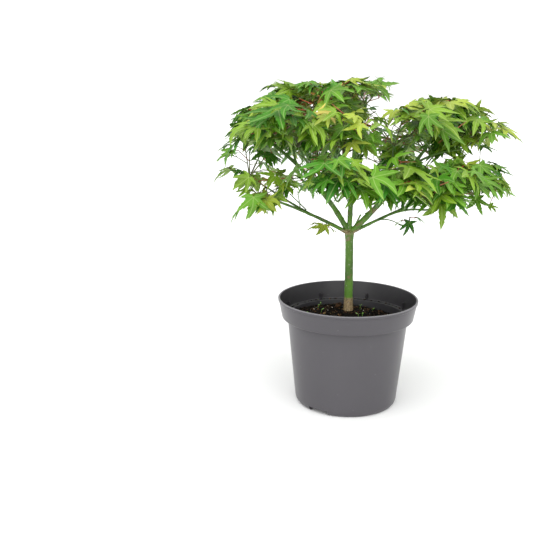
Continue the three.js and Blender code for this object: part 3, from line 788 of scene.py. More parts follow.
class Blade:
    """A whole leaf blade at unit length, which each leaf bends in its own way."""

    def __init__(self, edges):
        outs, sides, lobes, self.faces = [], [], [], []
        for index, edge in enumerate(edges):
            points, faces = lobe_shape(index, edge)
            self.faces += [tuple(corner + len(outs) for corner in face) for face in faces]
            outs += [out for out, _ in points]
            sides += [side for _, side in points]
            lobes += [index] * len(points)
        self.out, self.side, self.lobe = np.array(outs), np.array(sides), np.array(lobes)
        self.angles = np.radians([angle for angle, _ in LOBES])[self.lobe]
        self.lengths = np.array([length for _, length in LOBES])[self.lobe]
        self.free = np.maximum(self.out - LOBE_FREE_OUT, 0)
        self.places = np.stack([self.out, self.side], axis=1)

    def bent(self, leaf, sag, fold, lobe_sags, lobe_swings):
        """The blade of one leaf in space: it folds up from its midribs, and its lobes sag and swing."""
        turn = self.angles + lobe_swings[self.lobe] * self.free
        x = self.lengths * (self.out * np.cos(turn) - self.side * np.sin(turn))
        y = self.lengths * (self.out * np.sin(turn) + self.side * np.cos(turn))
        drop = sag * (self.out * self.lengths) ** 2 + lobe_sags[self.lobe] * self.free**2
        rise = fold * np.abs(self.side) * self.lengths - drop
        return leaf.base + leaf.length * np.stack([x, y, rise], axis=1) @ leaf.shown_frame


# Colours, materials and shader node groups


def linear(red, green, blue):
    """A screen colour from 0 to 255 as the linear values that shaders use."""
    values = [channel / 255 for channel in (red, green, blue)]
    return tuple(v / 12.92 if v <= 0.04045 else ((v + 0.055) / 1.055) ** 2.4 for v in values)


def rgba(colour):
    return (*colour, 1.0)


def toned(colour, share):
    return tuple(channel * share for channel in colour)


def between(first, second, share):
    """A colour part of the way from one to another."""
    return tuple(lerp(low, high, share) for low, high in zip(first, second))


def new_material(name):
    material = bpy.data.materials.new(name)
    material.use_nodes = True
    return material, material.node_tree, material.node_tree.nodes["Principled BSDF"]


def feed(tree, node, inputs):
    """Sets a node's inputs to values, or links them from sockets."""
    for key, value in inputs.items():
        if isinstance(value, bpy.types.NodeSocket):
            tree.links.new(value, node.inputs[key])
        else:
            node.inputs[key].default_value = value


def add_node(tree, kind, inputs=None, **settings):
    node = tree.nodes.new(kind)
    for key, value in settings.items():
        setattr(node, key, value)
    feed(tree, node, inputs or {})
    return node


def maths(tree, operation, first, second=0.0):
    node = add_node(tree, "ShaderNodeMath", {0: first, 1: second}, operation=operation)
    return node.outputs["Value"]


def ramp(tree, factor, low, high):
    """A value turned from 0 at `low` to 1 at `high`."""
    node = add_node(tree, "ShaderNodeMapRange", {"Value": factor, "From Min": low, "From Max": high})
    return node.outputs["Result"]


def spread(tree, share, low, high):
    """A share from 0 to 1 turned to a value from `low` to `high`."""
    node = add_node(tree, "ShaderNodeMapRange", {"Value": share, "To Min": low, "To Max": high})
    return node.outputs["Result"]


def mixed(tree, factor, first, second):
    """Two colours mixed by a factor. Of the node's sockets only those for colours are enabled."""
    node = add_node(tree, "ShaderNodeMix", data_type="RGBA")
    for key, value in (("Factor", factor), ("A", first), ("B", second)):
        socket = next(s for s in node.inputs if s.name == key and s.enabled)
        if isinstance(value, bpy.types.NodeSocket):
            tree.links.new(value, socket)
        else:
            socket.default_value = value
    return next(s for s in node.outputs if s.enabled)


def object_place(tree):
    return add_node(tree, "ShaderNodeTexCoord").outputs["Object"]


def stretched_place(tree, stretch):
    node = add_node(tree, "ShaderNodeMapping", {"Vector": object_place(tree), "Scale": stretch})
    return node.outputs["Vector"]


def noise_pattern(tree, vector, scale, detail=2.0):
    node = add_node(tree, "ShaderNodeTexNoise", {"Vector": vector, "Scale": scale, "Detail": detail})
    return node.outputs["Fac"]


def lay_mottle(tree, size, start, end, low, high):
    """Two colours in soft patches of a given size, and the mask that parts them."""
    mask = ramp(tree, noise_pattern(tree, object_place(tree), size, 4.0), start, end)
    return mixed(tree, mask, low, high), mask


def lay_specks(tree, count, radius, stretch):
    """Small specks scattered over a surface, as a mask."""
    vector = stretched_place(tree, stretch)
    cells = add_node(tree, "ShaderNodeTexVoronoi", {"Vector": vector, "Scale": count})
    return [ramp(tree, cells.outputs["Distance"], radius, 0.0)]


def lay_relief(tree, coarse, fine, stretch):
    """A fine height pattern of two scales, for bumps."""
    vector = stretched_place(tree, stretch)
    return [maths(tree, "ADD", noise_pattern(tree, vector, coarse), noise_pattern(tree, vector, fine))]


BLADE_MAP = "blade"
MIDRIB_EDGE = (0.02, 0.004)
SIDE_VEIN_SHARE = 0.16
SIDE_VEIN_STRENGTH = 0.4


def lay_veins(tree, count, slant):
    """A lobe's midrib and side veins as a mask, from each point's place on the blade."""
    blade = add_node(tree, "ShaderNodeUVMap", uv_map=BLADE_MAP).outputs["UV"]
    place = add_node(tree, "ShaderNodeSeparateXYZ", {"Vector": blade}).outputs
    aside = maths(tree, "ABSOLUTE", place["Y"])
    along = maths(tree, "MULTIPLY", place["X"], count)
    turn = maths(tree, "FRACT", maths(tree, "SUBTRACT", along, maths(tree, "MULTIPLY", aside, slant)))
    side = maths(tree, "MULTIPLY", ramp(tree, turn, SIDE_VEIN_SHARE, 0.0), SIDE_VEIN_STRENGTH)
    return [maths(tree, "MAXIMUM", ramp(tree, aside, *MIDRIB_EDGE), side)]


NUMBER, VECTOR, COLOUR = "NodeSocketFloat", "NodeSocketVector", "NodeSocketColor"
Effect = namedtuple("Effect", "lay_out inputs outputs")
EFFECTS = {
    "Mottle": Effect(
        lay_mottle,
        [
            ("Size per Metre", NUMBER, 40.0),
            ("Start", NUMBER, 0.4),
            ("End", NUMBER, 0.6),
            ("Low Colour", COLOUR, (0, 0, 0, 1)),
            ("High Colour", COLOUR, (1, 1, 1, 1)),
        ],
        [("Colour", COLOUR), ("Mask", NUMBER)],
    ),
    "Specks": Effect(
        lay_specks,
        [("Count per Metre", NUMBER, 400.0), ("Radius", NUMBER, 0.2), ("Stretch", VECTOR, (1, 1, 1))],
        [("Mask", NUMBER)],
    ),
    "Fine Relief": Effect(
        lay_relief,
        [
            ("Coarse per Metre", NUMBER, 200.0),
            ("Fine per Metre", NUMBER, 1200.0),
            ("Stretch", VECTOR, (1, 1, 1)),
        ],
        [("Height", NUMBER)],
    ),
    "Veins": Effect(
        lay_veins,
        [("Side Veins", NUMBER, 12.0), ("Slant", NUMBER, 26.0)],
        [("Mask", NUMBER)],
    ),
}


def effect_group(name):
    """The shader node group of an effect, built the first time that a material places it."""
    if name in bpy.data.node_groups:
        return bpy.data.node_groups[name]
    effect = EFFECTS[name]
    group = bpy.data.node_groups.new(name, "ShaderNodeTree")
    for label, kind, default in effect.inputs:
        socket = group.interface.new_socket(label, in_out="INPUT", socket_type=kind)
        socket.default_value = default
    for label, kind in effect.outputs:
        group.interface.new_socket(label, in_out="OUTPUT", socket_type=kind)
    given = add_node(group, "NodeGroupInput").outputs
    results = effect.lay_out(group, *[given[label] for label, _, _ in effect.inputs])
    labels = [label for label, _ in effect.outputs]
    add_node(group, "NodeGroupOutput", dict(zip(labels, results)))
    return group


def place_effect(tree, name, inputs):
    """An effect placed in a material with its own values, as the group's outputs."""
    node = add_node(tree, "ShaderNodeGroup", node_tree=effect_group(name))
    feed(tree, node, inputs)
    return node.outputs


def mottle(tree, size, low, high, start=0.4, end=0.6):
    colours = {"Low Colour": rgba(low), "High Colour": rgba(high)}
    return place_effect(tree, "Mottle", {"Size per Metre": size, "Start": start, "End": end, **colours})


def add_relief(tree, shader, coarse, fine, distance, strength=1.0, stretch=(1, 1, 1)):
    """The fine relief as a bump of the shader's surface."""
    values = {"Coarse per Metre": coarse, "Fine per Metre": fine, "Stretch": stretch}
    height = place_effect(tree, "Fine Relief", values)["Height"]
    bump = add_node(tree, "ShaderNodeBump", {"Height": height, "Distance": distance, "Strength": strength})
    feed(tree, shader, {"Normal": bump.outputs["Normal"]})


# Settings that a user would change


class PotSettings(bpy.types.PropertyGroup):
    rim_radius: FloatProperty(
        name="Rim Radius", description="Outer radius of the rim", default=0.094, unit="LENGTH"
    )
    height: FloatProperty(
        name="Height", description="Height of the pot", default=0.145, unit="LENGTH"
    )
    collar_depth: FloatProperty(
        name="Collar Depth",
        description="Depth of the wide band below the rim",
        default=0.0265,
        unit="LENGTH",
    )
    wall: FloatProperty(
        name="Wall", description="Thickness of the moulded wall", default=0.0016, unit="LENGTH"
    )
    colour: FloatVectorProperty(
        name="Plastic Colour",
        description="Colour of the moulded plastic",
        default=linear(76, 74, 78),
        subtype="COLOR",
    )
    steps: IntProperty(name="Steps", description="Facets round the pot", default=144, min=36)


class SoilSettings(bpy.types.PropertyGroup):
    edge_height: FloatProperty(
        name="Edge Height", description="Height of the soil at the wall", default=0.112, unit="LENGTH"
    )
    top_height: FloatProperty(
        name="Top Height", description="Height of the soil at the trunk", default=0.1265, unit="LENGTH"
    )
    crumbs: IntProperty(
        name="Crumbs", description="Count of loose crumbs and bark bits", default=1500
    )
    specks: IntProperty(
        name="Perlite", description="Count of white specks of perlite", default=46
    )
    seedlings: IntProperty(
        name="Seedlings", description="Count of tiny green seedlings", default=16
    )
    colour: FloatVectorProperty(
        name="Soil Colour",
        description="Colour of the moist soil",
        default=linear(12, 9, 7),
        subtype="COLOR",
    )


class BarkSettings(bpy.types.PropertyGroup):
    relief: FloatProperty(
        name="Relief",
        description="Depth of the bark's unevenness",
        default=0.00035,
        unit="LENGTH",
        precision=5,
    )
    voxel: FloatProperty(
        name="Mesh Size",
        description="Size of the bark mesh's faces",
        default=0.00055,
        unit="LENGTH",
        precision=5,
    )
    green: FloatVectorProperty(
        name="Young Bark",
        description="Colour of the green bark",
        default=linear(82, 127, 28),
        subtype="COLOR",
    )
    brown: FloatVectorProperty(
        name="Old Bark",
        description="Colour of the brown patches",
        default=linear(120, 96, 72),
        subtype="COLOR",
    )


class FoliageSettings(bpy.types.PropertyGroup):
    fold: FloatProperty(
        name="Fold", description="How far each lobe folds up from its midrib", default=0.3, min=0, max=1
    )
    sag: FloatProperty(
        name="Sag",
        description="How far the lobes sag, as a share of their length",
        default=0.12,
        min=0,
        max=1,
    )
    stalk_radius: FloatProperty(
        name="Stalk Radius",
        description="Radius of a leaf's stalk",
        default=0.00052,
        unit="LENGTH",
        precision=5,
    )


class StageSettings(bpy.types.PropertyGroup):
    floor: FloatVectorProperty(
        name="Floor Colour",
        description="Colour of the plain floor",
        default=(0.9, 0.9, 0.9),
        subtype="COLOR",
    )
    backdrop: FloatProperty(
        name="Backdrop", description="Brightness of the plain backdrop as the camera sees it", default=1.1
    )
    sky: FloatProperty(
        name="Sky", description="Brightness of the light from all round", default=0.95
    )
    key: FloatProperty(
        name="Key Light", description="Strength of the large soft light from above", default=2.9
    )
    key_spread: FloatProperty(
        name="Key Spread",
        description="How wide the light from above is",
        default=math.radians(100),
        unit="ROTATION",
    )


# Pot

POT_BODY_TOP = 0.0808
POT_BODY_LOW = 0.0695
POT_FOOT = 0.0635
POT_FOOT_ROUNDING = 0.009
POT_FOOT_STEPS = 8
POT_COLLAR_FOOT = 0.0885
POT_FLOOR = 0.0025
FLOOR_INSET = 0.0015

# The section's roundings: under the collar, at its foot, at the lip, then inside from the lip down
UNDER_ROUNDING = 0.0014
COLLAR_ROUNDING = 0.0016
LIP_ROUNDING = 0.0011
INNER_LIP_ROUNDING = 0.0006
INNER_COLLAR_ROUNDING = 0.001
LEDGE_ROUNDING = 0.0008

# Points set in and down from a corner of the section, and one set out and up from the inner ledge
BODY_END_INSET = (0.0001, 0.0025)
LIP_FOOT_INSET = (0.0014, 0.0042)
LIP_EDGE_INSET = (0.0003, 0.0034)
INNER_COLLAR_OFFSET = (0.0002, 0.002)


def arc(middle, radius, start_deg, end_deg, steps):
    """Points of an arc as [radius, height] pairs in metres."""
    angles = [math.radians(lerp(start_deg, end_deg, i / steps)) for i in range(steps + 1)]
    return [(middle[0] + radius * math.cos(a), middle[1] + radius * math.sin(a)) for a in angles]


def pot_foot():
    """The rounded foot, from the underside's edge up to where the body starts."""
    angles = [math.pi / 2 * i / POT_FOOT_STEPS for i in range(POT_FOOT_STEPS + 1)]
    width = POT_BODY_LOW - POT_FOOT
    return [(POT_FOOT + width * math.sin(a), POT_FOOT_ROUNDING * (1 - math.cos(a))) for a in angles]


def set_in(corner, inset):
    return corner[0] - inset[0], corner[1] - inset[1]


def ledge_top(pot):
    return pot.height - pot.collar_depth + pot.wall


def pot_profile(pot):
    """The pot's section from the axis, out and up to the rim, and back down inside to the axis."""
    wall = pot.wall
    ledge = pot.height - pot.collar_depth
    rim = (pot.rim_radius, pot.height)
    under, collar, lip = UNDER_ROUNDING, COLLAR_ROUNDING, LIP_ROUNDING
    inner_lip, inner_collar, step = INNER_LIP_ROUNDING, INNER_COLLAR_ROUNDING, LEDGE_ROUNDING
    outside = [
        (0, 0),
        (POT_FOOT / 2, 0),
        *pot_foot(),
        set_in((POT_BODY_TOP, ledge), BODY_END_INSET),
        *arc((POT_BODY_TOP + under, ledge - under), under, 180, 90, 4),
        *arc((POT_COLLAR_FOOT - collar, ledge + collar), collar, -90, -12, 5),
        set_in(rim, LIP_FOOT_INSET),
        set_in(rim, LIP_EDGE_INSET),
        *arc((pot.rim_radius - lip, pot.height - lip), lip, 0, 90, 5),
    ]
    inside = [
        *arc((pot.rim_radius - lip - wall + inner_lip, pot.height - inner_lip), inner_lip, 90, 180, 3),
        (POT_COLLAR_FOOT - wall + INNER_COLLAR_OFFSET[0], ledge + wall + INNER_COLLAR_OFFSET[1]),
        *arc((POT_COLLAR_FOOT - wall - inner_collar, ledge + wall + inner_collar), inner_collar, 0, -90, 3),
        *arc((POT_BODY_TOP - wall + step, ledge + wall - step), step, 90, 180, 3),
        (POT_BODY_LOW - wall, POT_FOOT_ROUNDING + wall),
        (POT_FOOT - wall - FLOOR_INSET, POT_FLOOR),
        (0, POT_FLOOR),
    ]
    return outside + inside


WELD = 0.00001


def spun(name, profile, steps):
    """A closed shell spun about +Z from [radius, height] pairs in metres that run from axis to axis."""
    deselect_all()
    mesh = bpy.data.meshes.new(name)
    edges = [(i, i + 1) for i in range(len(profile) - 1)]
    mesh.from_pydata([(radius, 0, height) for radius, height in profile], edges, [])
    piece = bpy.data.objects.new(name, mesh)
    bpy.context.scene.collection.objects.link(piece)
    make_active(piece)
    bpy.ops.object.mode_set(mode="EDIT")
    bpy.ops.mesh.select_all(action="SELECT")
    bpy.ops.mesh.spin(steps=steps, angle=2 * math.pi, center=(0, 0, 0), axis=(0, 0, 1))
    bpy.ops.mesh.select_all(action="SELECT")
    bpy.ops.mesh.remove_doubles(threshold=WELD)
    bpy.ops.mesh.normals_make_consistent(inside=False)
    bpy.ops.object.mode_set(mode="OBJECT")
    return piece


def turned_block(name, size, middle, turn_deg, bevel=0):
    """A block, with rounded edges if asked, turned about +Z, with its place in its mesh."""
    deselect_all()
    bpy.ops.mesh.primitive_cube_add(size=1, location=middle, scale=size)
    block = bpy.context.object
    block.name = name
    bpy.ops.object.transform_apply(location=True, rotation=True, scale=True)
    if bevel:
        apply_modifier(block, "BEVEL", width=bevel, segments=2)
    block.data.transform(Matrix.Rotation(math.radians(turn_deg), 4, "Z"))
    return block


PLASTIC_SHADE = 0.9
DUST_COLOUR = (0.4, 0.4, 0.4)
DUST_STRENGTH = 0.3


def pot_material(name, colour):
    """Moulded grey plastic with a soft gloss, faintly mottled and scuffed."""
    material, tree, shader = new_material(name)
    body = mottle(tree, size=14.0, low=colour, high=toned(colour, PLASTIC_SHADE), start=0.2, end=0.8)
    dust = place_effect(tree, "Specks", {"Count per Metre": 95.0, "Radius": 0.07})
    dusty = rgba(between(colour, DUST_COLOUR, DUST_STRENGTH))
    shown = mixed(tree, dust["Mask"], body["Colour"], dusty)
    gloss = spread(tree, body["Mask"], low=0.27, high=0.36)
    feed(tree, shader, {"Base Color": shown, "Roughness": gloss, "Specular IOR Level": 0.36})
    add_relief(tree, shader, coarse=60.0, fine=1500.0, distance=0.00006, strength=0.4)
    return material


class MAPLE_OT_pot(bpy.types.Operator):
    """Spin the nursery pot with its collar, stacking fins and drainage notches"""

    bl_idname = "maple.pot"
    bl_label = "Nursery Pot"

    SMOOTH_DEG = 28
    # The inside and the fins are the same plastic, darkened to this share as painted shade.
    INSIDE_SHADE_TONE = 0.55
    # The lip is the same plastic, lightened by this factor as a painted highlight.
    LIP_HIGHLIGHT_TONE = 2.9
    LEVEL_NORMAL = 0.5
    LIP_DEPTH = 0.0009
    LEDGE_DEPTH = 0.0009
    FINS = 8
    FIN_START_DEG = 20
    FIN_SIZE = (0.0038, 0.0026, 0.0085)
    FIN_BEVEL = 0.0004
    FIN_WALL_SINK = 0.0009
    FIN_LEDGE_SINK = 0.0002
    DRAINS = 3
    DRAIN_START_DEG = -128
    DRAIN_SIZE = (0.022, 0.028, 0.0067)
    DRAIN_DROP = 0.0003

    def execute(self, context):
        pot = context.scene.maple_pot
        piece = spun("nursery_pot", pot_profile(pot), pot.steps)
        self.cut_drains(piece)
        bpy.ops.object.shade_smooth_by_angle(angle=math.radians(self.SMOOTH_DEG))
        inside = self.lay_plastic(piece, pot)
        self.join_fins(context, piece, pot, inside)
        finish_piece(piece, "pot", "pot")
        return {"FINISHED"}

    def cut_drains(self, piece):
        middle = (POT_FOOT, 0, self.DRAIN_SIZE[2] / 2 - self.DRAIN_DROP)
        for i in range(self.DRAINS):
            turn = self.DRAIN_START_DEG + i * 360 / self.DRAINS
            notch = turned_block("notch", self.DRAIN_SIZE, middle, turn)
            apply_modifier(piece, "BOOLEAN", object=notch, operation="DIFFERENCE", solver="EXACT")
            bpy.data.objects.remove(notch)

    def lay_plastic(self, piece, pot):
        """Plain plastic outside and on the ledge, a lip lightened as a painted highlight, and the inside
        darkened as painted shade, whose material is returned.
        """
        plain = pot_material("pot_plastic", pot.colour)
        inside = pot_material("pot_plastic_inside_painted_shade", toned(pot.colour, self.INSIDE_SHADE_TONE))
        lip_highlight = pot_material("pot_plastic_lip_highlight", toned(pot.colour, self.LIP_HIGHLIGHT_TONE))
        piece.data.materials.clear()
        for material in (plain, inside, lip_highlight):
            piece.data.materials.append(material)
        # Lip faces get the lightened plastic, a painted highlight; faces turned in or up, but for the
        # ledge's, get the darkened plastic, painted shade.
        for face in piece.data.polygons:
            inward = face.normal.xy.dot(face.center.xy) < 0 or face.normal.z > self.LEVEL_NORMAL
            on_lip = face.center.z > pot.height - self.LIP_DEPTH
            on_ledge = abs(face.center.z - ledge_top(pot)) < self.LEDGE_DEPTH
            face.material_index = 2 if on_lip else int(inward and not on_ledge)
        return inside

    def join_fins(self, context, piece, pot, material):
        # The fins take the inside's plastic, darkened as painted shade.
        fins = self.fins(pot)
        deselect_all()
        for fin in fins:
            fin.data.materials.append(material)
            fin.select_set(True)
        piece.select_set(True)
        context.view_layer.objects.active = piece
        bpy.ops.object.join()

    def fins(self, pot):
        """The stacking fins, which stand on the ledge against the collar's wall."""
        depth, _, height = self.FIN_SIZE
        radius = POT_COLLAR_FOOT - pot.wall - depth / 2 + self.FIN_WALL_SINK
        middle = (radius, 0, ledge_top(pot) + height / 2 - self.FIN_LEDGE_SINK)
        turns = [self.FIN_START_DEG + i * 360 / self.FINS for i in range(self.FINS)]
        return [turned_block("fin", self.FIN_SIZE, middle, turn, self.FIN_BEVEL) for turn in turns]


# Soil

SOIL_SEED = 11
SOIL_RADIUS = 0.078
SOIL_BRIM = 0.0776
SOIL_CURVE = 1.5
SOIL_SINK = 0.0006
SOIL_TILT = 0.05
CHUNK_ROUGHNESS = (0.68, 1.25)
BARK_LUMP_PLACE = (-11, 3, 132.5)
BARK_LUMP_SIZE = 12


def soil_height(soil, radius):
    """Height of the mound at a distance from the trunk, before its crumbs."""
    share = clamp(radius / SOIL_RADIUS, 0, 1)
    return lerp(soil.top_height, soil.edge_height, share**SOIL_CURVE) - SOIL_SINK


def chunk(seed, stretch):
    """A small rough lump about one unit across, as points and triangles."""
    deselect_all()
    bpy.ops.mesh.primitive_ico_sphere_add(subdivisions=1, radius=0.5, location=(0, 0, 0))
    lump = bpy.context.object
    points = np.array([vertex.co for vertex in lump.data.vertices])
    faces = [list(polygon.vertices) for polygon in lump.data.polygons]
    bpy.data.objects.remove(lump)
    random = np.random.default_rng(seed)
    points = points * random.uniform(*CHUNK_ROUGHNESS, (len(points), 1)) * stretch
    return points, faces


def scattered(shapes, places, sizes, random):
    """Copies of shapes, each turned at random, at their places and sizes."""
    copies = []
    for i, (place, size) in enumerate(zip(places, sizes)):
        points, faces = shapes[i % len(shapes)]
        turn = Matrix.Rotation(random.uniform(0, 2 * math.pi), 3, random.normal(size=3))
        copies.append((points @ np.array(turn).T * size + place, faces))
    return copies


def soil_material(name, low, high, rough=0.95):
    material, tree, shader = new_material(name)
    tone = mottle(tree, size=260.0, low=low, high=high)["Colour"]
    feed(tree, shader, {"Base Color": tone, "Roughness": rough, "Specular IOR Level": 0.1})
    add_relief(tree, shader, coarse=420.0, fine=1700.0, distance=0.0009)
    return material


Crumb = namedtuple("Crumb", "low high share sizes")


class MAPLE_OT_soil(bpy.types.Operator):
    """Shape the mounded potting soil, with its crumbs, bark bits, perlite and seedlings"""

    bl_idname = "maple.soil"
    bl_label = "Potting Soil"

    # The mound, in metres. Its roughness is [patches per metre, height], and it is calm near the trunk
    FLOOR_GAP = 0.0006
    FLOOR_RADIUS = 0.049
    LOW_SIDE = (0.068, 0.017)
    BRIM_DEPTH = 0.004
    RINGS = 34
    STEPS = 128
    SURFACE_DEPTH = 0.001
    ROUGHNESS = [(95, 0.0016), (330, 0.0011)]
    CALM_RADIUS = 0.012
    LIGHT_TONE = 2.1

    # Crumbs: two screen colours, their share of all, and their sizes in millimetres
    CRUMBS = {
        "soil_crumbs_dark": Crumb((12, 10, 8), (32, 25, 19), 0.7, (1.6, 6.6)),
        "soil_crumbs_brown": Crumb((40, 29, 20), (78, 56, 38), 0.2, (2.0, 7.6)),
        "soil_bark_bits": Crumb((96, 72, 46), (140, 112, 78), 0.1, (1.4, 5.4)),
    }
    CRUMB_STRETCH = (1, 0.7, 0.45)
    CRUMB_SHAPE_SEEDS = range(5)
    # How far from the trunk loose bits lie, in metres, and where some lie on the ledge, in millimetres
    LOOSE_RADII = (0.008, 0.0765)
    LEDGE_SHARE = 0.07
    LEDGE_RADIUS = 82.4
    LEDGE_HEIGHT = 120.5
    LEDGE_SCALE = 0.5
    PERLITE_SHAPE_SEEDS = range(20, 23)
    PERLITE_STRETCH = (1, 0.9, 0.8)
    PERLITE_SIZES = (0.8, 2.0)
    PERLITE_LIFT = (0, 0, 0.4)

    # Seedlings: how far out they stand, in metres, their sizes in millimetres, and a seed leaf's outline
    SEEDLING_RADIUS = 0.07
    SEEDLING_HEIGHTS = (1.8, 7.5)
    SEEDLING_LEAN = 1.5
    SEEDLING_ROOT = (0, 0, 0.5)
    SEEDLING_STALK = 0.3
    SEED_LEAF_SIZES = (2.4, 4.4)
    SEED_LEAF_RISE_DEG = 22
    SEED_LEAF = [(0, 0), (0.35, 0.3), (0.8, 0.26), (1, 0), (0.8, -0.26), (0.35, -0.3)]

    def execute(self, context):
        soil = context.scene.maple_soil
        random = np.random.default_rng(SOIL_SEED)
        self.mound(soil)
        self.crumbs(soil, random)
        self.perlite(soil, random)
        self.seedlings(soil, random)
        return {"FINISHED"}

    def mound(self, soil):
        low = POT_FLOOR + self.FLOOR_GAP
        brim = (SOIL_BRIM, soil.edge_height - self.BRIM_DEPTH)
        rows = [(0, low), (self.FLOOR_RADIUS, low), self.LOW_SIDE, brim]
        rings = [(radius, soil_height(soil, radius)) for radius in np.linspace(SOIL_BRIM, 0, self.RINGS)]
        piece = spun("potting_soil", rows + rings, self.STEPS)
        for vertex in piece.data.vertices:
            place = vertex.co
            if place.z > soil.edge_height - self.SURFACE_DEPTH:
                rough = sum(noise.noise(place * patches) * height for patches, height in self.ROUGHNESS)
                place.z += rough * min(1, place.xy.length / self.CALM_RADIUS) - place.x * SOIL_TILT
        shade_smooth(piece)
        light = toned(soil.colour, self.LIGHT_TONE)
        piece.data.materials.append(soil_material("soil_dark", soil.colour, light))
        finish_piece(piece, "soil", "soil")

    def places(self, soil, count, random, most=LOOSE_RADII[1]):
        """Places scattered over the mound, in millimetres."""
        radii = np.sqrt(random.uniform(self.LOOSE_RADII[0] ** 2, most**2, count)) / MM
        turns = random.uniform(0, 2 * math.pi, count)
        heights = np.array([soil_height(soil, radius * MM) for radius in radii]) / MM
        x = radii * np.cos(turns)
        return np.stack([x, radii * np.sin(turns), heights - x * SOIL_TILT], axis=1)

    def ledge_places(self, count, random):
        turns = random.uniform(0, 2 * math.pi, count)
        level = [self.LEDGE_RADIUS * np.cos(turns), self.LEDGE_RADIUS * np.sin(turns)]
        return np.stack([*level, np.full(count, self.LEDGE_HEIGHT)], axis=1)

    def crumbs(self, soil, random):
        """Loose crumbs on the mound and on the pot's ledge, in three tones of bark and peat."""
        shapes = [chunk(seed, self.CRUMB_STRETCH) for seed in self.CRUMB_SHAPE_SEEDS]
        for name, crumb in self.CRUMBS.items():
            count = int(soil.crumbs * crumb.share)
            places = self.places(soil, count, random)
            on_ledge = random.uniform(size=count) < self.LEDGE_SHARE
            places[on_ledge] = self.ledge_places(count, random)[on_ledge]
            sizes = random.uniform(*crumb.sizes, count) * np.where(on_ledge, self.LEDGE_SCALE, 1)
            if name == "soil_crumbs_brown":
                places[0], sizes[0] = BARK_LUMP_PLACE, BARK_LUMP_SIZE
            copies = scattered(shapes, places, sizes, random)
            material = soil_material(name, linear(*crumb.low), linear(*crumb.high), 0.9)
            finish_shapes(name, copies, material, "soil", smooth=False)

    def perlite(self, soil, random):
        shapes = [chunk(seed, self.PERLITE_STRETCH) for seed in self.PERLITE_SHAPE_SEEDS]
        places = self.places(soil, soil.specks, random) + self.PERLITE_LIFT
        copies = scattered(shapes, places, random.uniform(*self.PERLITE_SIZES, soil.specks), random)
        material = soil_material("perlite_white", linear(196, 190, 180), linear(228, 224, 216), 0.8)
        finish_shapes("perlite", copies, material, "soil", smooth=False)

    def seedlings(self, soil, random):
        """Tiny weeds: two seed leaves on a short stalk each."""
        shapes = []
        for place in self.places(soil, soil.seedlings, random, self.SEEDLING_RADIUS):
            lean = random.uniform(-self.SEEDLING_LEAN, self.SEEDLING_LEAN, 2)
            top = place + (*lean, random.uniform(*self.SEEDLING_HEIGHTS))
            root = place - self.SEEDLING_ROOT
            shapes.append(tube([root, (place + top) / 2, top], self.SEEDLING_STALK, sides=4))
            turn = random.uniform(0, 180)
            for azimuth in (turn, turn + 180):
                shapes.append(self.seed_leaf(top, azimuth, random.uniform(*self.SEED_LEAF_SIZES)))
        material = leaf_material("seedling_green", linear(96, 140, 52))
        finish_shapes("seedlings", shapes, material, "leaf")

    def seed_leaf(self, base, azimuth, size):
        forward = heading(azimuth, self.SEED_LEAF_RISE_DEG)
        across = heading(azimuth + 90, 0)
        points = [base + size * (out * forward + side * across) for out, side in self.SEED_LEAF]
        return np.array(points), [tuple(range(len(points)))]


# Bark

TRUNK_RADII = (5.75, 5.3)
ROOT_FLARE = 0.95
ROOT_FLARE_HEIGHT = 12
HEAD_SWELLING = 1.0
HEAD_SHARES = (0.88, 0.08)
TOP_ROUNDING = 1.1
TOP_SHARES = (0.985, 0.015)
LEAST_RINGS = 8
RING_SPACING = 2.5
KNOTS = 5
KNOT_SWELLING = 0.1
KNOT_SHARPNESS = 60


def risen(along, start, span):
    """A share that rises from 0 at the start to 1 at the span's end, for places along the trunk."""
    return np.clip((along - start) / span, 0, 1)


def trunk_radii(heights):
    """The trunk's radius at heights over the soil, with its root flare, swollen head and rounded top."""
    along = heights / heights[-1]
    stem = lerp(*TRUNK_RADII, along) + ROOT_FLARE * np.exp(-heights / ROOT_FLARE_HEIGHT)
    return stem + HEAD_SWELLING * risen(along, *HEAD_SHARES) - TOP_ROUNDING * risen(along, *TOP_SHARES)


def limb_tube(limb, start, sides, scale=1):
    """A limb as a tapering tube that swells a little at its knots."""
    length = limb.line.length() * (1 - start)
    shares = np.linspace(start, 1, max(LEAST_RINGS, int(length / RING_SPACING)))
    free = (shares - limb.start) / (1 - limb.start)
    radii = lerp(limb.radii[0], limb.radii[1], np.clip(free, 0, 1))
    from_knot = (free * KNOTS) % 1 - 0.5
    swelling = 1 + KNOT_SWELLING * np.exp(-(from_knot**2) * KNOT_SHARPNESS)
    return tube(limb.line.at(shares), radii * swelling * scale, sides)


BARK_SHADE = 0.55
CRUST_PALE = linear(164, 142, 104)
CRUST_DARK = linear(86, 66, 42)
CRUST_WAVE = 0.006
CRUST_EDGE = (0.003, -0.002)
SCAR_EDGE = (0.0045, 0.0015)
OLD_PATCH_STRENGTH = 0.75
PORE_COLOUR = (0.5, 0.5, 0.5)
PORE_STRENGTH = 0.45


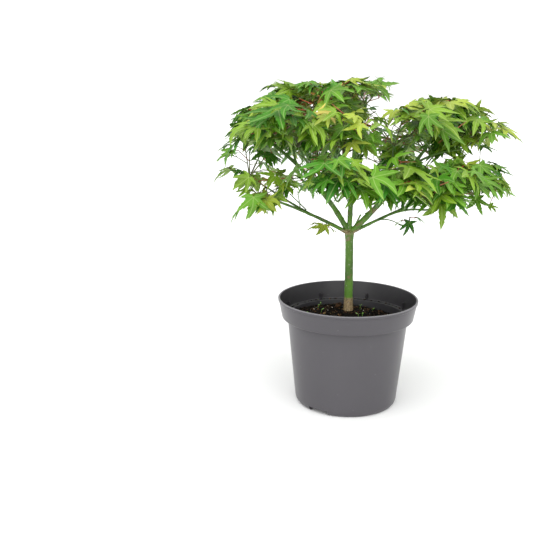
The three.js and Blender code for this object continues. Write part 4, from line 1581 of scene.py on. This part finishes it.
def bark_material(name, green, brown, foot_height, head_height):
    """Young green bark with pale pores, brown in patches, at the foot and at the head's scar."""
    material, tree, shader = new_material(name)
    patches = mottle(tree, size=46.0, low=green, high=toned(green, BARK_SHADE))
    old = place_effect(tree, "Mottle", {"Size per Metre": 70.0, "Start": 0.6, "End": 0.68})["Mask"]
    height = add_node(tree, "ShaderNodeSeparateXYZ", {"Vector": object_place(tree)}).outputs["Z"]
    level = maths(tree, "SUBTRACT", height, maths(tree, "MULTIPLY", old, CRUST_WAVE))
    foot = ramp(tree, level, *[foot_height + edge for edge in CRUST_EDGE])
    from_head = maths(tree, "ABSOLUTE", maths(tree, "SUBTRACT", height, head_height))
    scar = maths(tree, "MULTIPLY", ramp(tree, from_head, *SCAR_EDGE), patches["Mask"])
    crusted = maths(tree, "MAXIMUM", foot, scar)
    aged = maths(tree, "MAXIMUM", crusted, maths(tree, "MULTIPLY", old, OLD_PATCH_STRENGTH))
    bark = mixed(tree, aged, patches["Colour"], rgba(brown))
    crust = mottle(tree, size=640.0, low=CRUST_PALE, high=CRUST_DARK, start=0.42, end=0.66)
    bark = mixed(tree, crusted, bark, crust["Colour"])
    pores = place_effect(
        tree, "Specks", {"Count per Metre": 330.0, "Radius": 0.26, "Stretch": (1.0, 1.0, 0.55)}
    )
    shown = mixed(tree, pores["Mask"], bark, rgba(between(brown, PORE_COLOUR, PORE_STRENGTH)))
    feed(tree, shader, {"Base Color": shown, "Roughness": 0.55})
    add_relief(
        tree, shader, coarse=260.0, fine=1300.0, distance=0.0004, strength=0.8, stretch=(1.0, 1.0, 0.4)
    )
    return material


class MAPLE_OT_bark(bpy.types.Operator):
    """Model the trunk and boughs as one smooth mesh with the bark's relief, and the side boughs on it"""

    bl_idname = "maple.bark"
    bl_label = "Trunk and Boughs"

    CRUST_TOP = 0.1435
    SCAR_HEIGHT = 0.2345
    TRUNK_FOOT = 126.5 + GAP
    TRUNK_TOP = 236.0
    TRUNK_RINGS = 60
    TRUNK_LEAN = 0.7
    FOOT_SHIFT = 1.3
    FOOT_SHIFT_HEIGHT = 30
    BOUGH_START = 0.01
    RELIEF_SIZE = 0.006
    SPROUT_SCALE = 0.5
    STEM_RINGS = 8
    STUB_RINGS = 6
    STUB_TAPER = 0.8
    KNOB_STRETCH = (1, 1, 0.8)
    # Lumps on the cut head: middle and radius, which seeds the lump's shape too
    KNOBS = [((1.5, -4.6, 234.5), 2.6), ((-3.6, -2.6, 236.6), 2.1), ((3.8, 2.2, 237.0), 2.2)]
    # Thin bare shoots on the boughs: start, end and radius
    STUBS = [
        ((8, -1, 244), (14, -3, 258), 1.3),
        ((11, 0, 246), (24, -4, 262), 1.2),
        ((-8, -2, 252), (-16, -8, 262), 1.1),
        ((-58, -15, 266), (-80, -22, 288), 0.8),
        ((-66, -17, 269), (-70, -30, 292), 0.7),
        ((20, -3, 259), (36, -12, 270), 0.9),
        ((7, 13, 352), (14, -4, 380), 1.1),
        ((14, -4, 380), (16, -10, 408), 1.7),
        ((4, 8, 318), (16, -26, 352), 0.9),
    ]

    def execute(self, context):
        settings = context.scene.maple_bark
        limbs = grow_limbs()
        material = bark_material(
            "bark", settings.green, settings.brown, self.CRUST_TOP, self.SCAR_HEIGHT
        )
        self.trunk(limbs, settings, material)
        self.side_boughs(limbs, material)
        return {"FINISHED"}

    def trunk(self, limbs, settings, material):
        """The trunk and its boughs, grown into one skin and roughened."""
        shapes = [limb_tube(limbs[name], self.BOUGH_START, sides=16) for name in BOUGHS]
        shapes.insert(0, self.trunk_tube())
        for middle, radius in self.KNOBS:
            points, faces = chunk(int(radius * 10), self.KNOB_STRETCH)
            shapes.append((points * radius * 2 + middle, faces))
        piece = mesh_object("trunk_and_boughs", *join_shapes(shapes), material)
        make_active(piece)
        piece.data.remesh_voxel_size = settings.voxel
        bpy.ops.object.voxel_remesh()
        apply_modifier(piece, "SMOOTH", factor=0.5, iterations=6)
        clouds = bpy.data.textures.new("bark_relief", "CLOUDS")
        clouds.noise_scale = self.RELIEF_SIZE
        clouds.noise_depth = 3
        depth = settings.relief * 2
        apply_modifier(
            piece, "DISPLACE", texture=clouds, strength=depth, mid_level=0.5, texture_coords="LOCAL"
        )
        shade_smooth(piece)
        finish_piece(piece, "bark", "trunk", *BOUGHS)

    def trunk_tube(self):
        heights = np.linspace(0, self.TRUNK_TOP - self.TRUNK_FOOT, self.TRUNK_RINGS)
        lean = self.TRUNK_LEAN * np.sin(heights / heights[-1] * math.pi)
        shift = self.FOOT_SHIFT * np.exp(-heights / self.FOOT_SHIFT_HEIGHT)
        axis = np.stack([lean + shift, 0 * heights, self.TRUNK_FOOT + heights], axis=1)
        return tube(axis, trunk_radii(heights), sides=24)

    def side_boughs(self, limbs, material):
        """The side boughs, the stems on from them into the masses, and the bare shoots."""
        names = [name for name in limbs if name not in BOUGHS]
        scales = [self.SPROUT_SCALE if "sprout" in name else 1 for name in names]
        shapes = [limb_tube(limbs[name], 0, sides=10, scale=scale) for name, scale in zip(names, scales)]
        along = np.linspace(0, 1, self.STEM_RINGS)
        for name, mass in MASSES.items():
            carrier = carrier_of(name, limbs)
            stem = onward(carrier.line.at(1), carrier.line.way(1), hub_of(mass))
            radii = lerp(carrier.radii[1], STEM_RADII[1], np.sqrt(along))
            shapes.append(tube(stem.at(along), radii, sides=8))
        for start, end, radius in self.STUBS:
            line = stretch_between(start, end, self.STUB_RINGS)
            radii = np.linspace(radius, radius * self.STUB_TAPER, self.STUB_RINGS)
            shapes.append(tube(line, radii, sides=8))
        finish_shapes("side_boughs", shapes, material, "bark", *names)


# Foliage

FOLIAGE_SEED = 89
TINTS = {
    "leaf_deep": linear(42, 110, 14),
    "leaf_mid": linear(62, 126, 18),
    "leaf_fresh": linear(88, 140, 22),
    "leaf_light": linear(118, 156, 34),
    "leaf_lime": linear(152, 172, 52),
    "leaf_yellow": linear(196, 184, 84),
    "leaf_rust": linear(182, 128, 66),
}
GREENS = ["leaf_deep", "leaf_mid", "leaf_fresh", "leaf_light", "leaf_lime"]
# Small sprays of other colours: where they show from the front, how far round it, tint and chance
TINTED_PLACES = [
    ((-46, 400), 16, "leaf_rust", 0.8),
    ((-46, 374), 14, "leaf_rust", 0.7),
    ((-44, 385), 18, "leaf_yellow", 0.5),
    ((-36, 372), 16, "leaf_yellow", 0.4),
    ((-138, 311), 24, "leaf_yellow", 0.5),
    ((15, 303), 3, "leaf_mid", 1.0),
    ((-30, 413), 3, "leaf_light", 1.0),
    ((98, 384), 3, "leaf_light", 1.0),
    ((-118, 284), 18, "leaf_lime", 0.5),
    ((-110, 294), 32, "leaf_light", 0.75),
    ((-38, 260), 22, "leaf_lime", 1.0),
    ((-34, 412), 30, "leaf_lime", 0.35),
    ((52, 392), 32, "leaf_lime", 0.4),
    ((142, 385), 24, "leaf_lime", 0.35),
]
# The other sprays' tints, as a step in the greens: at the start, by height, by radius, to the right
FIRST_TINT = 1.1
TINT_BY_HEIGHT = 1.3
TINT_HEIGHTS = (270, 150)
TINT_BY_RADIUS = 0.5
TINT_RADII = (60, 130)
TINT_TO_RIGHT = 0.5
TINT_RIGHT_REACH = 150
TINT_STRAY = 0.75
TINT_STEPS = [-1, 0, 0, 0, 1]
SMALL_LEAF_LENGTH = 25

LEAF_SHADE = 0.7
LEAF_UNDERSIDE = linear(156, 180, 120)
UNDERSIDE_STRENGTH = 0.2
LEAF_VEIN = linear(196, 208, 140)
VEIN_PALENESS = 0.7
VEIN_STRENGTH = 0.42


def leaf_material(name, colour, veined=False):
    """A soft leaf, paler beneath, with a faint mottle, and veins where it has a blade map."""
    material, tree, shader = new_material(name)
    tone = mottle(tree, size=34.0, low=colour, high=toned(colour, LEAF_SHADE))
    underside = rgba(between(colour, LEAF_UNDERSIDE, UNDERSIDE_STRENGTH))
    back = add_node(tree, "ShaderNodeNewGeometry").outputs["Backfacing"]
    shown = mixed(tree, back, tone["Colour"], underside)
    if veined:
        strength = maths(tree, "MULTIPLY", place_effect(tree, "Veins", {})["Mask"], VEIN_STRENGTH)
        shown = mixed(tree, strength, shown, rgba(between(colour, LEAF_VEIN, VEIN_PALENESS)))
    feed(tree, shader, {"Base Color": shown, "Roughness": 0.46, "Specular IOR Level": 0.26})
    add_relief(tree, shader, coarse=500.0, fine=2500.0, distance=0.0002, strength=0.5)
    return material


def tint_of(place, random):
    """The tint of one spray: lighter towards the crown's top and right, unless its place has its own."""
    shown = seen_from_front(place)
    for middle, reach, tint, chance in TINTED_PLACES:
        if np.linalg.norm(shown - middle) < reach and random.uniform() < chance:
            return tint
    height = (place[2] - TINT_HEIGHTS[0]) / TINT_HEIGHTS[1]
    radius = (np.hypot(place[0] - CROWN_MIDDLE[0], place[1]) - TINT_RADII[0]) / TINT_RADII[1]
    level = FIRST_TINT + TINT_BY_HEIGHT * height + TINT_BY_RADIUS * radius
    level += TINT_TO_RIGHT * place[0] / TINT_RIGHT_REACH + random.normal() * TINT_STRAY
    return green_at(round(level))


def green_at(step):
    return GREENS[int(clamp(step, 0, len(GREENS) - 1))]


class MAPLE_OT_foliage(bpy.types.Operator):
    """Grow the twigs, stalks and leaves of every mass on from the boughs by the seeded rule"""

    bl_idname = "maple.foliage"
    bl_label = "Foliage"

    TWIG_RINGS = 5
    SPUR_RINGS = 4
    RED_SPUR_EVERY = 3
    RED_STALK_SHARE = 0.4
    STALK_BOW = 1.2
    STALK_SHAPE = np.array([1.15, 0.85, 1])
    SAG_SPREAD = (0.6, 1.3)
    FOLD_SPREAD = (0.5, 1.3)
    LOBE_SAGS = (-0.35, 0.55)
    LOBE_SWING = 0.32
    TWIG_COLOURS = (linear(104, 112, 60), linear(118, 80, 58))
    RED_TWIG_COLOURS = (linear(150, 84, 52), linear(158, 66, 50))
    STALK_COLOUR = linear(128, 150, 70)
    RED_STALK_COLOUR = linear(168, 74, 54)

    def execute(self, context):
        settings = context.scene.maple_foliage
        foliage = Foliage(grow_limbs())
        random = np.random.default_rng(FOLIAGE_SEED)
        self.twigs(foliage)
        self.stalks(foliage, settings, random)
        self.leaves(foliage, settings, random)
        return {"FINISHED"}

    def twigs(self, foliage):
        """The masses' own twigs, the finer spurs on them, every third one red, and the marked shoots."""
        old, young = [], []
        for _, twig in foliage.bearers:
            line = stretch_between(twig.start, twig.tip, self.TWIG_RINGS)
            old.append(tube(line, np.linspace(*TWIG_RADII, self.TWIG_RINGS), sides=6))
        for count, (start, tip) in enumerate(foliage.spurs):
            (old if count % self.RED_SPUR_EVERY else young).append(self.spur(start, tip))
        for shoot in MARKED_SHOOTS:
            points = np.array(shoot, float)
            young.append(self.spur(foliage.nearest_tip(points[1]), points[1]))
            young.append(tube(points, SHOOT_RADII, sides=6))
        for name, shapes, colours in (
            ("twigs", old, self.TWIG_COLOURS),
            ("twigs_red", young, self.RED_TWIG_COLOURS),
        ):
            material = bark_material(name + "_bark", *colours, foot_height=0.0, head_height=0.0)
            finish_shapes(name, shapes, material, "bark")

    def spur(self, start, tip):
        line = stretch_between(start, tip, self.SPUR_RINGS)
        return tube(line, np.linspace(*SPUR_RADII, self.SPUR_RINGS), sides=5)

    def stalks(self, foliage, settings, random):
        """The leaves' stalks, green or reddened by spray."""
        radii = settings.stalk_radius / MM * self.STALK_SHAPE
        reddened = random.uniform(size=len(foliage.places)) < self.RED_STALK_SHARE
        green, red = [], []
        for leaf in foliage.leaves:
            bow = np.cross(leaf.way, (0, 0, 1)) * random.normal() * self.STALK_BOW
            middle = (leaf.node + leaf.base) / 2 + bow
            stalk = tube([leaf.node, middle, leaf.base], radii, sides=5)
            (red if reddened[leaf.spray] else green).append(stalk)
        for name, shapes, colour in (
            ("stalks_green", green, self.STALK_COLOUR),
            ("stalks_red", red, self.RED_STALK_COLOUR),
        ):
            finish_shapes(name, shapes, leaf_material(name, colour), "leaf")

    def leaves(self, foliage, settings, random):
        """Each leaf bent in its own way, in one piece for each tint, with its blade's map."""
        full, fine = Blade(FULL_EDGES), Blade(FINE_EDGES)
        tints = [tint_of(place, random) for place in foliage.places]
        shapes = {tint: [] for tint in TINTS}
        maps = {tint: [] for tint in TINTS}
        for leaf in foliage.leaves:
            blade = fine if leaf.fine else full
            points = self.bent_blade(blade, leaf, settings, random)
            tint = self.leaf_tint(leaf, tints[leaf.spray], random)
            shapes[tint].append((points, blade.faces))
            maps[tint].append(blade.places)
        nodes = ["leaves_" + name for name in MASSES]
        for tint in [tint for tint in TINTS if shapes[tint]]:
            material = leaf_material(tint, TINTS[tint], veined=True)
            piece = finish_shapes(tint, shapes[tint], material, "leaf", *nodes)
            lay_map(piece, BLADE_MAP, np.concatenate(maps[tint]))

    def bent_blade(self, blade, leaf, settings, random):
        sag = settings.sag * random.uniform(*self.SAG_SPREAD)
        fold = settings.fold * random.uniform(*self.FOLD_SPREAD)
        lobe_sags = random.uniform(*self.LOBE_SAGS, len(LOBES))
        lobe_swings = random.normal(0, self.LOBE_SWING, len(LOBES))
        return blade.bent(leaf, sag, fold, lobe_sags, lobe_swings)

    def leaf_tint(self, leaf, tint, random):
        """A leaf has its spray's tint, or now and then the next green. Large leaves don't turn yellow."""
        if tint in GREENS:
            return green_at(GREENS.index(tint) + random.choice(TINT_STEPS))
        return tint if leaf.length < SMALL_LEAF_LENGTH else "leaf_light"


# Stage


class MAPLE_OT_stage(bpy.types.Operator):
    """Set the plain pale floor, the soft studio light and the camera"""

    bl_idname = "maple.stage"
    bl_label = "Stage"

    FLOOR_SIZE = 80
    KEY_WAY = (0.1, 0.8, -0.95)
    CAMERA_PLACE = (-0.1095, -0.964, 0.4106)
    CAMERA_PITCH_DEG = -13.04
    FOCAL_PIXELS = 740
    IMAGE_PIXELS = 533
    SENSOR_MM = 36

    def execute(self, context):
        stage = context.scene.maple_stage
        self.floor(stage)
        self.light(context, stage)
        self.camera(context)
        context.scene.view_settings.view_transform = "Standard"
        context.scene.view_settings.look = "None"
        return {"FINISHED"}

    def floor(self, stage):
        deselect_all()
        bpy.ops.mesh.primitive_plane_add(size=self.FLOOR_SIZE, location=(0, 0, 0))
        floor = bpy.context.object
        floor.name = "floor"
        material, tree, shader = new_material("floor_pale")
        feed(tree, shader, {"Base Color": rgba(stage.floor), "Roughness": 1.0, "Specular IOR Level": 0.0})
        floor.data.materials.append(material)

    def light(self, context, stage):
        """A pale light from all round, brighter as the backdrop, and one wide soft light from above."""
        world = bpy.data.worlds.new("studio")
        context.scene.world = world
        world.use_nodes = True
        tree = world.node_tree
        seen = add_node(tree, "ShaderNodeLightPath").outputs["Is Camera Ray"]
        strength = spread(tree, seen, stage.sky, stage.backdrop)
        feed(tree, tree.nodes["Background"], {"Color": (1, 1, 1, 1), "Strength": strength})
        lamp = bpy.data.lights.new("key", "SUN")
        lamp.energy = stage.key
        lamp.angle = stage.key_spread
        holder = bpy.data.objects.new("key", lamp)
        context.scene.collection.objects.link(holder)
        holder.rotation_euler = Vector(self.KEY_WAY).to_track_quat("-Z", "Y").to_euler()

    def camera(self, context):
        lens = bpy.data.cameras.new("camera")
        lens.sensor_width = self.SENSOR_MM
        lens.lens = self.SENSOR_MM * self.FOCAL_PIXELS / self.IMAGE_PIXELS
        camera = bpy.data.objects.new("camera", lens)
        camera.location = self.CAMERA_PLACE
        camera.rotation_euler = (math.radians(90 + self.CAMERA_PITCH_DEG), 0, 0)
        context.scene.collection.objects.link(camera)
        context.scene.camera = camera


class MAPLE_PT_parts(bpy.types.Panel):
    """Lists the plant's parts and their settings"""

    bl_label = "Maple"
    bl_idname = "MAPLE_PT_parts"
    bl_space_type = "VIEW_3D"
    bl_region_type = "UI"
    bl_category = "Maple"

    def draw(self, context):
        for operator, settings in PARTS:
            box = self.layout.box()
            group = getattr(context.scene, settings)
            for name in group.bl_rna.properties.keys():
                if name not in ("rna_type", "name"):
                    box.prop(group, name)
            box.operator(operator.bl_idname)


SETTINGS = {
    "maple_pot": PotSettings,
    "maple_soil": SoilSettings,
    "maple_bark": BarkSettings,
    "maple_foliage": FoliageSettings,
    "maple_stage": StageSettings,
}
PARTS = [
    (MAPLE_OT_pot, "maple_pot"),
    (MAPLE_OT_soil, "maple_soil"),
    (MAPLE_OT_bark, "maple_bark"),
    (MAPLE_OT_foliage, "maple_foliage"),
    (MAPLE_OT_stage, "maple_stage"),
]
CLASSES = [*SETTINGS.values(), *[operator for operator, _ in PARTS], MAPLE_PT_parts]


def register():
    for item in CLASSES:
        bpy.utils.register_class(item)
    for name, group in SETTINGS.items():
        setattr(bpy.types.Scene, name, PointerProperty(type=group))


def unregister():
    for name in SETTINGS:
        delattr(bpy.types.Scene, name)
    for item in reversed(CLASSES):
        bpy.utils.unregister_class(item)


def main():
    register()
    bpy.ops.maple.pot()
    bpy.ops.maple.soil()
    bpy.ops.maple.bark()
    bpy.ops.maple.foliage()
    bpy.ops.maple.stage()


if __name__ == "__main__":
    main()
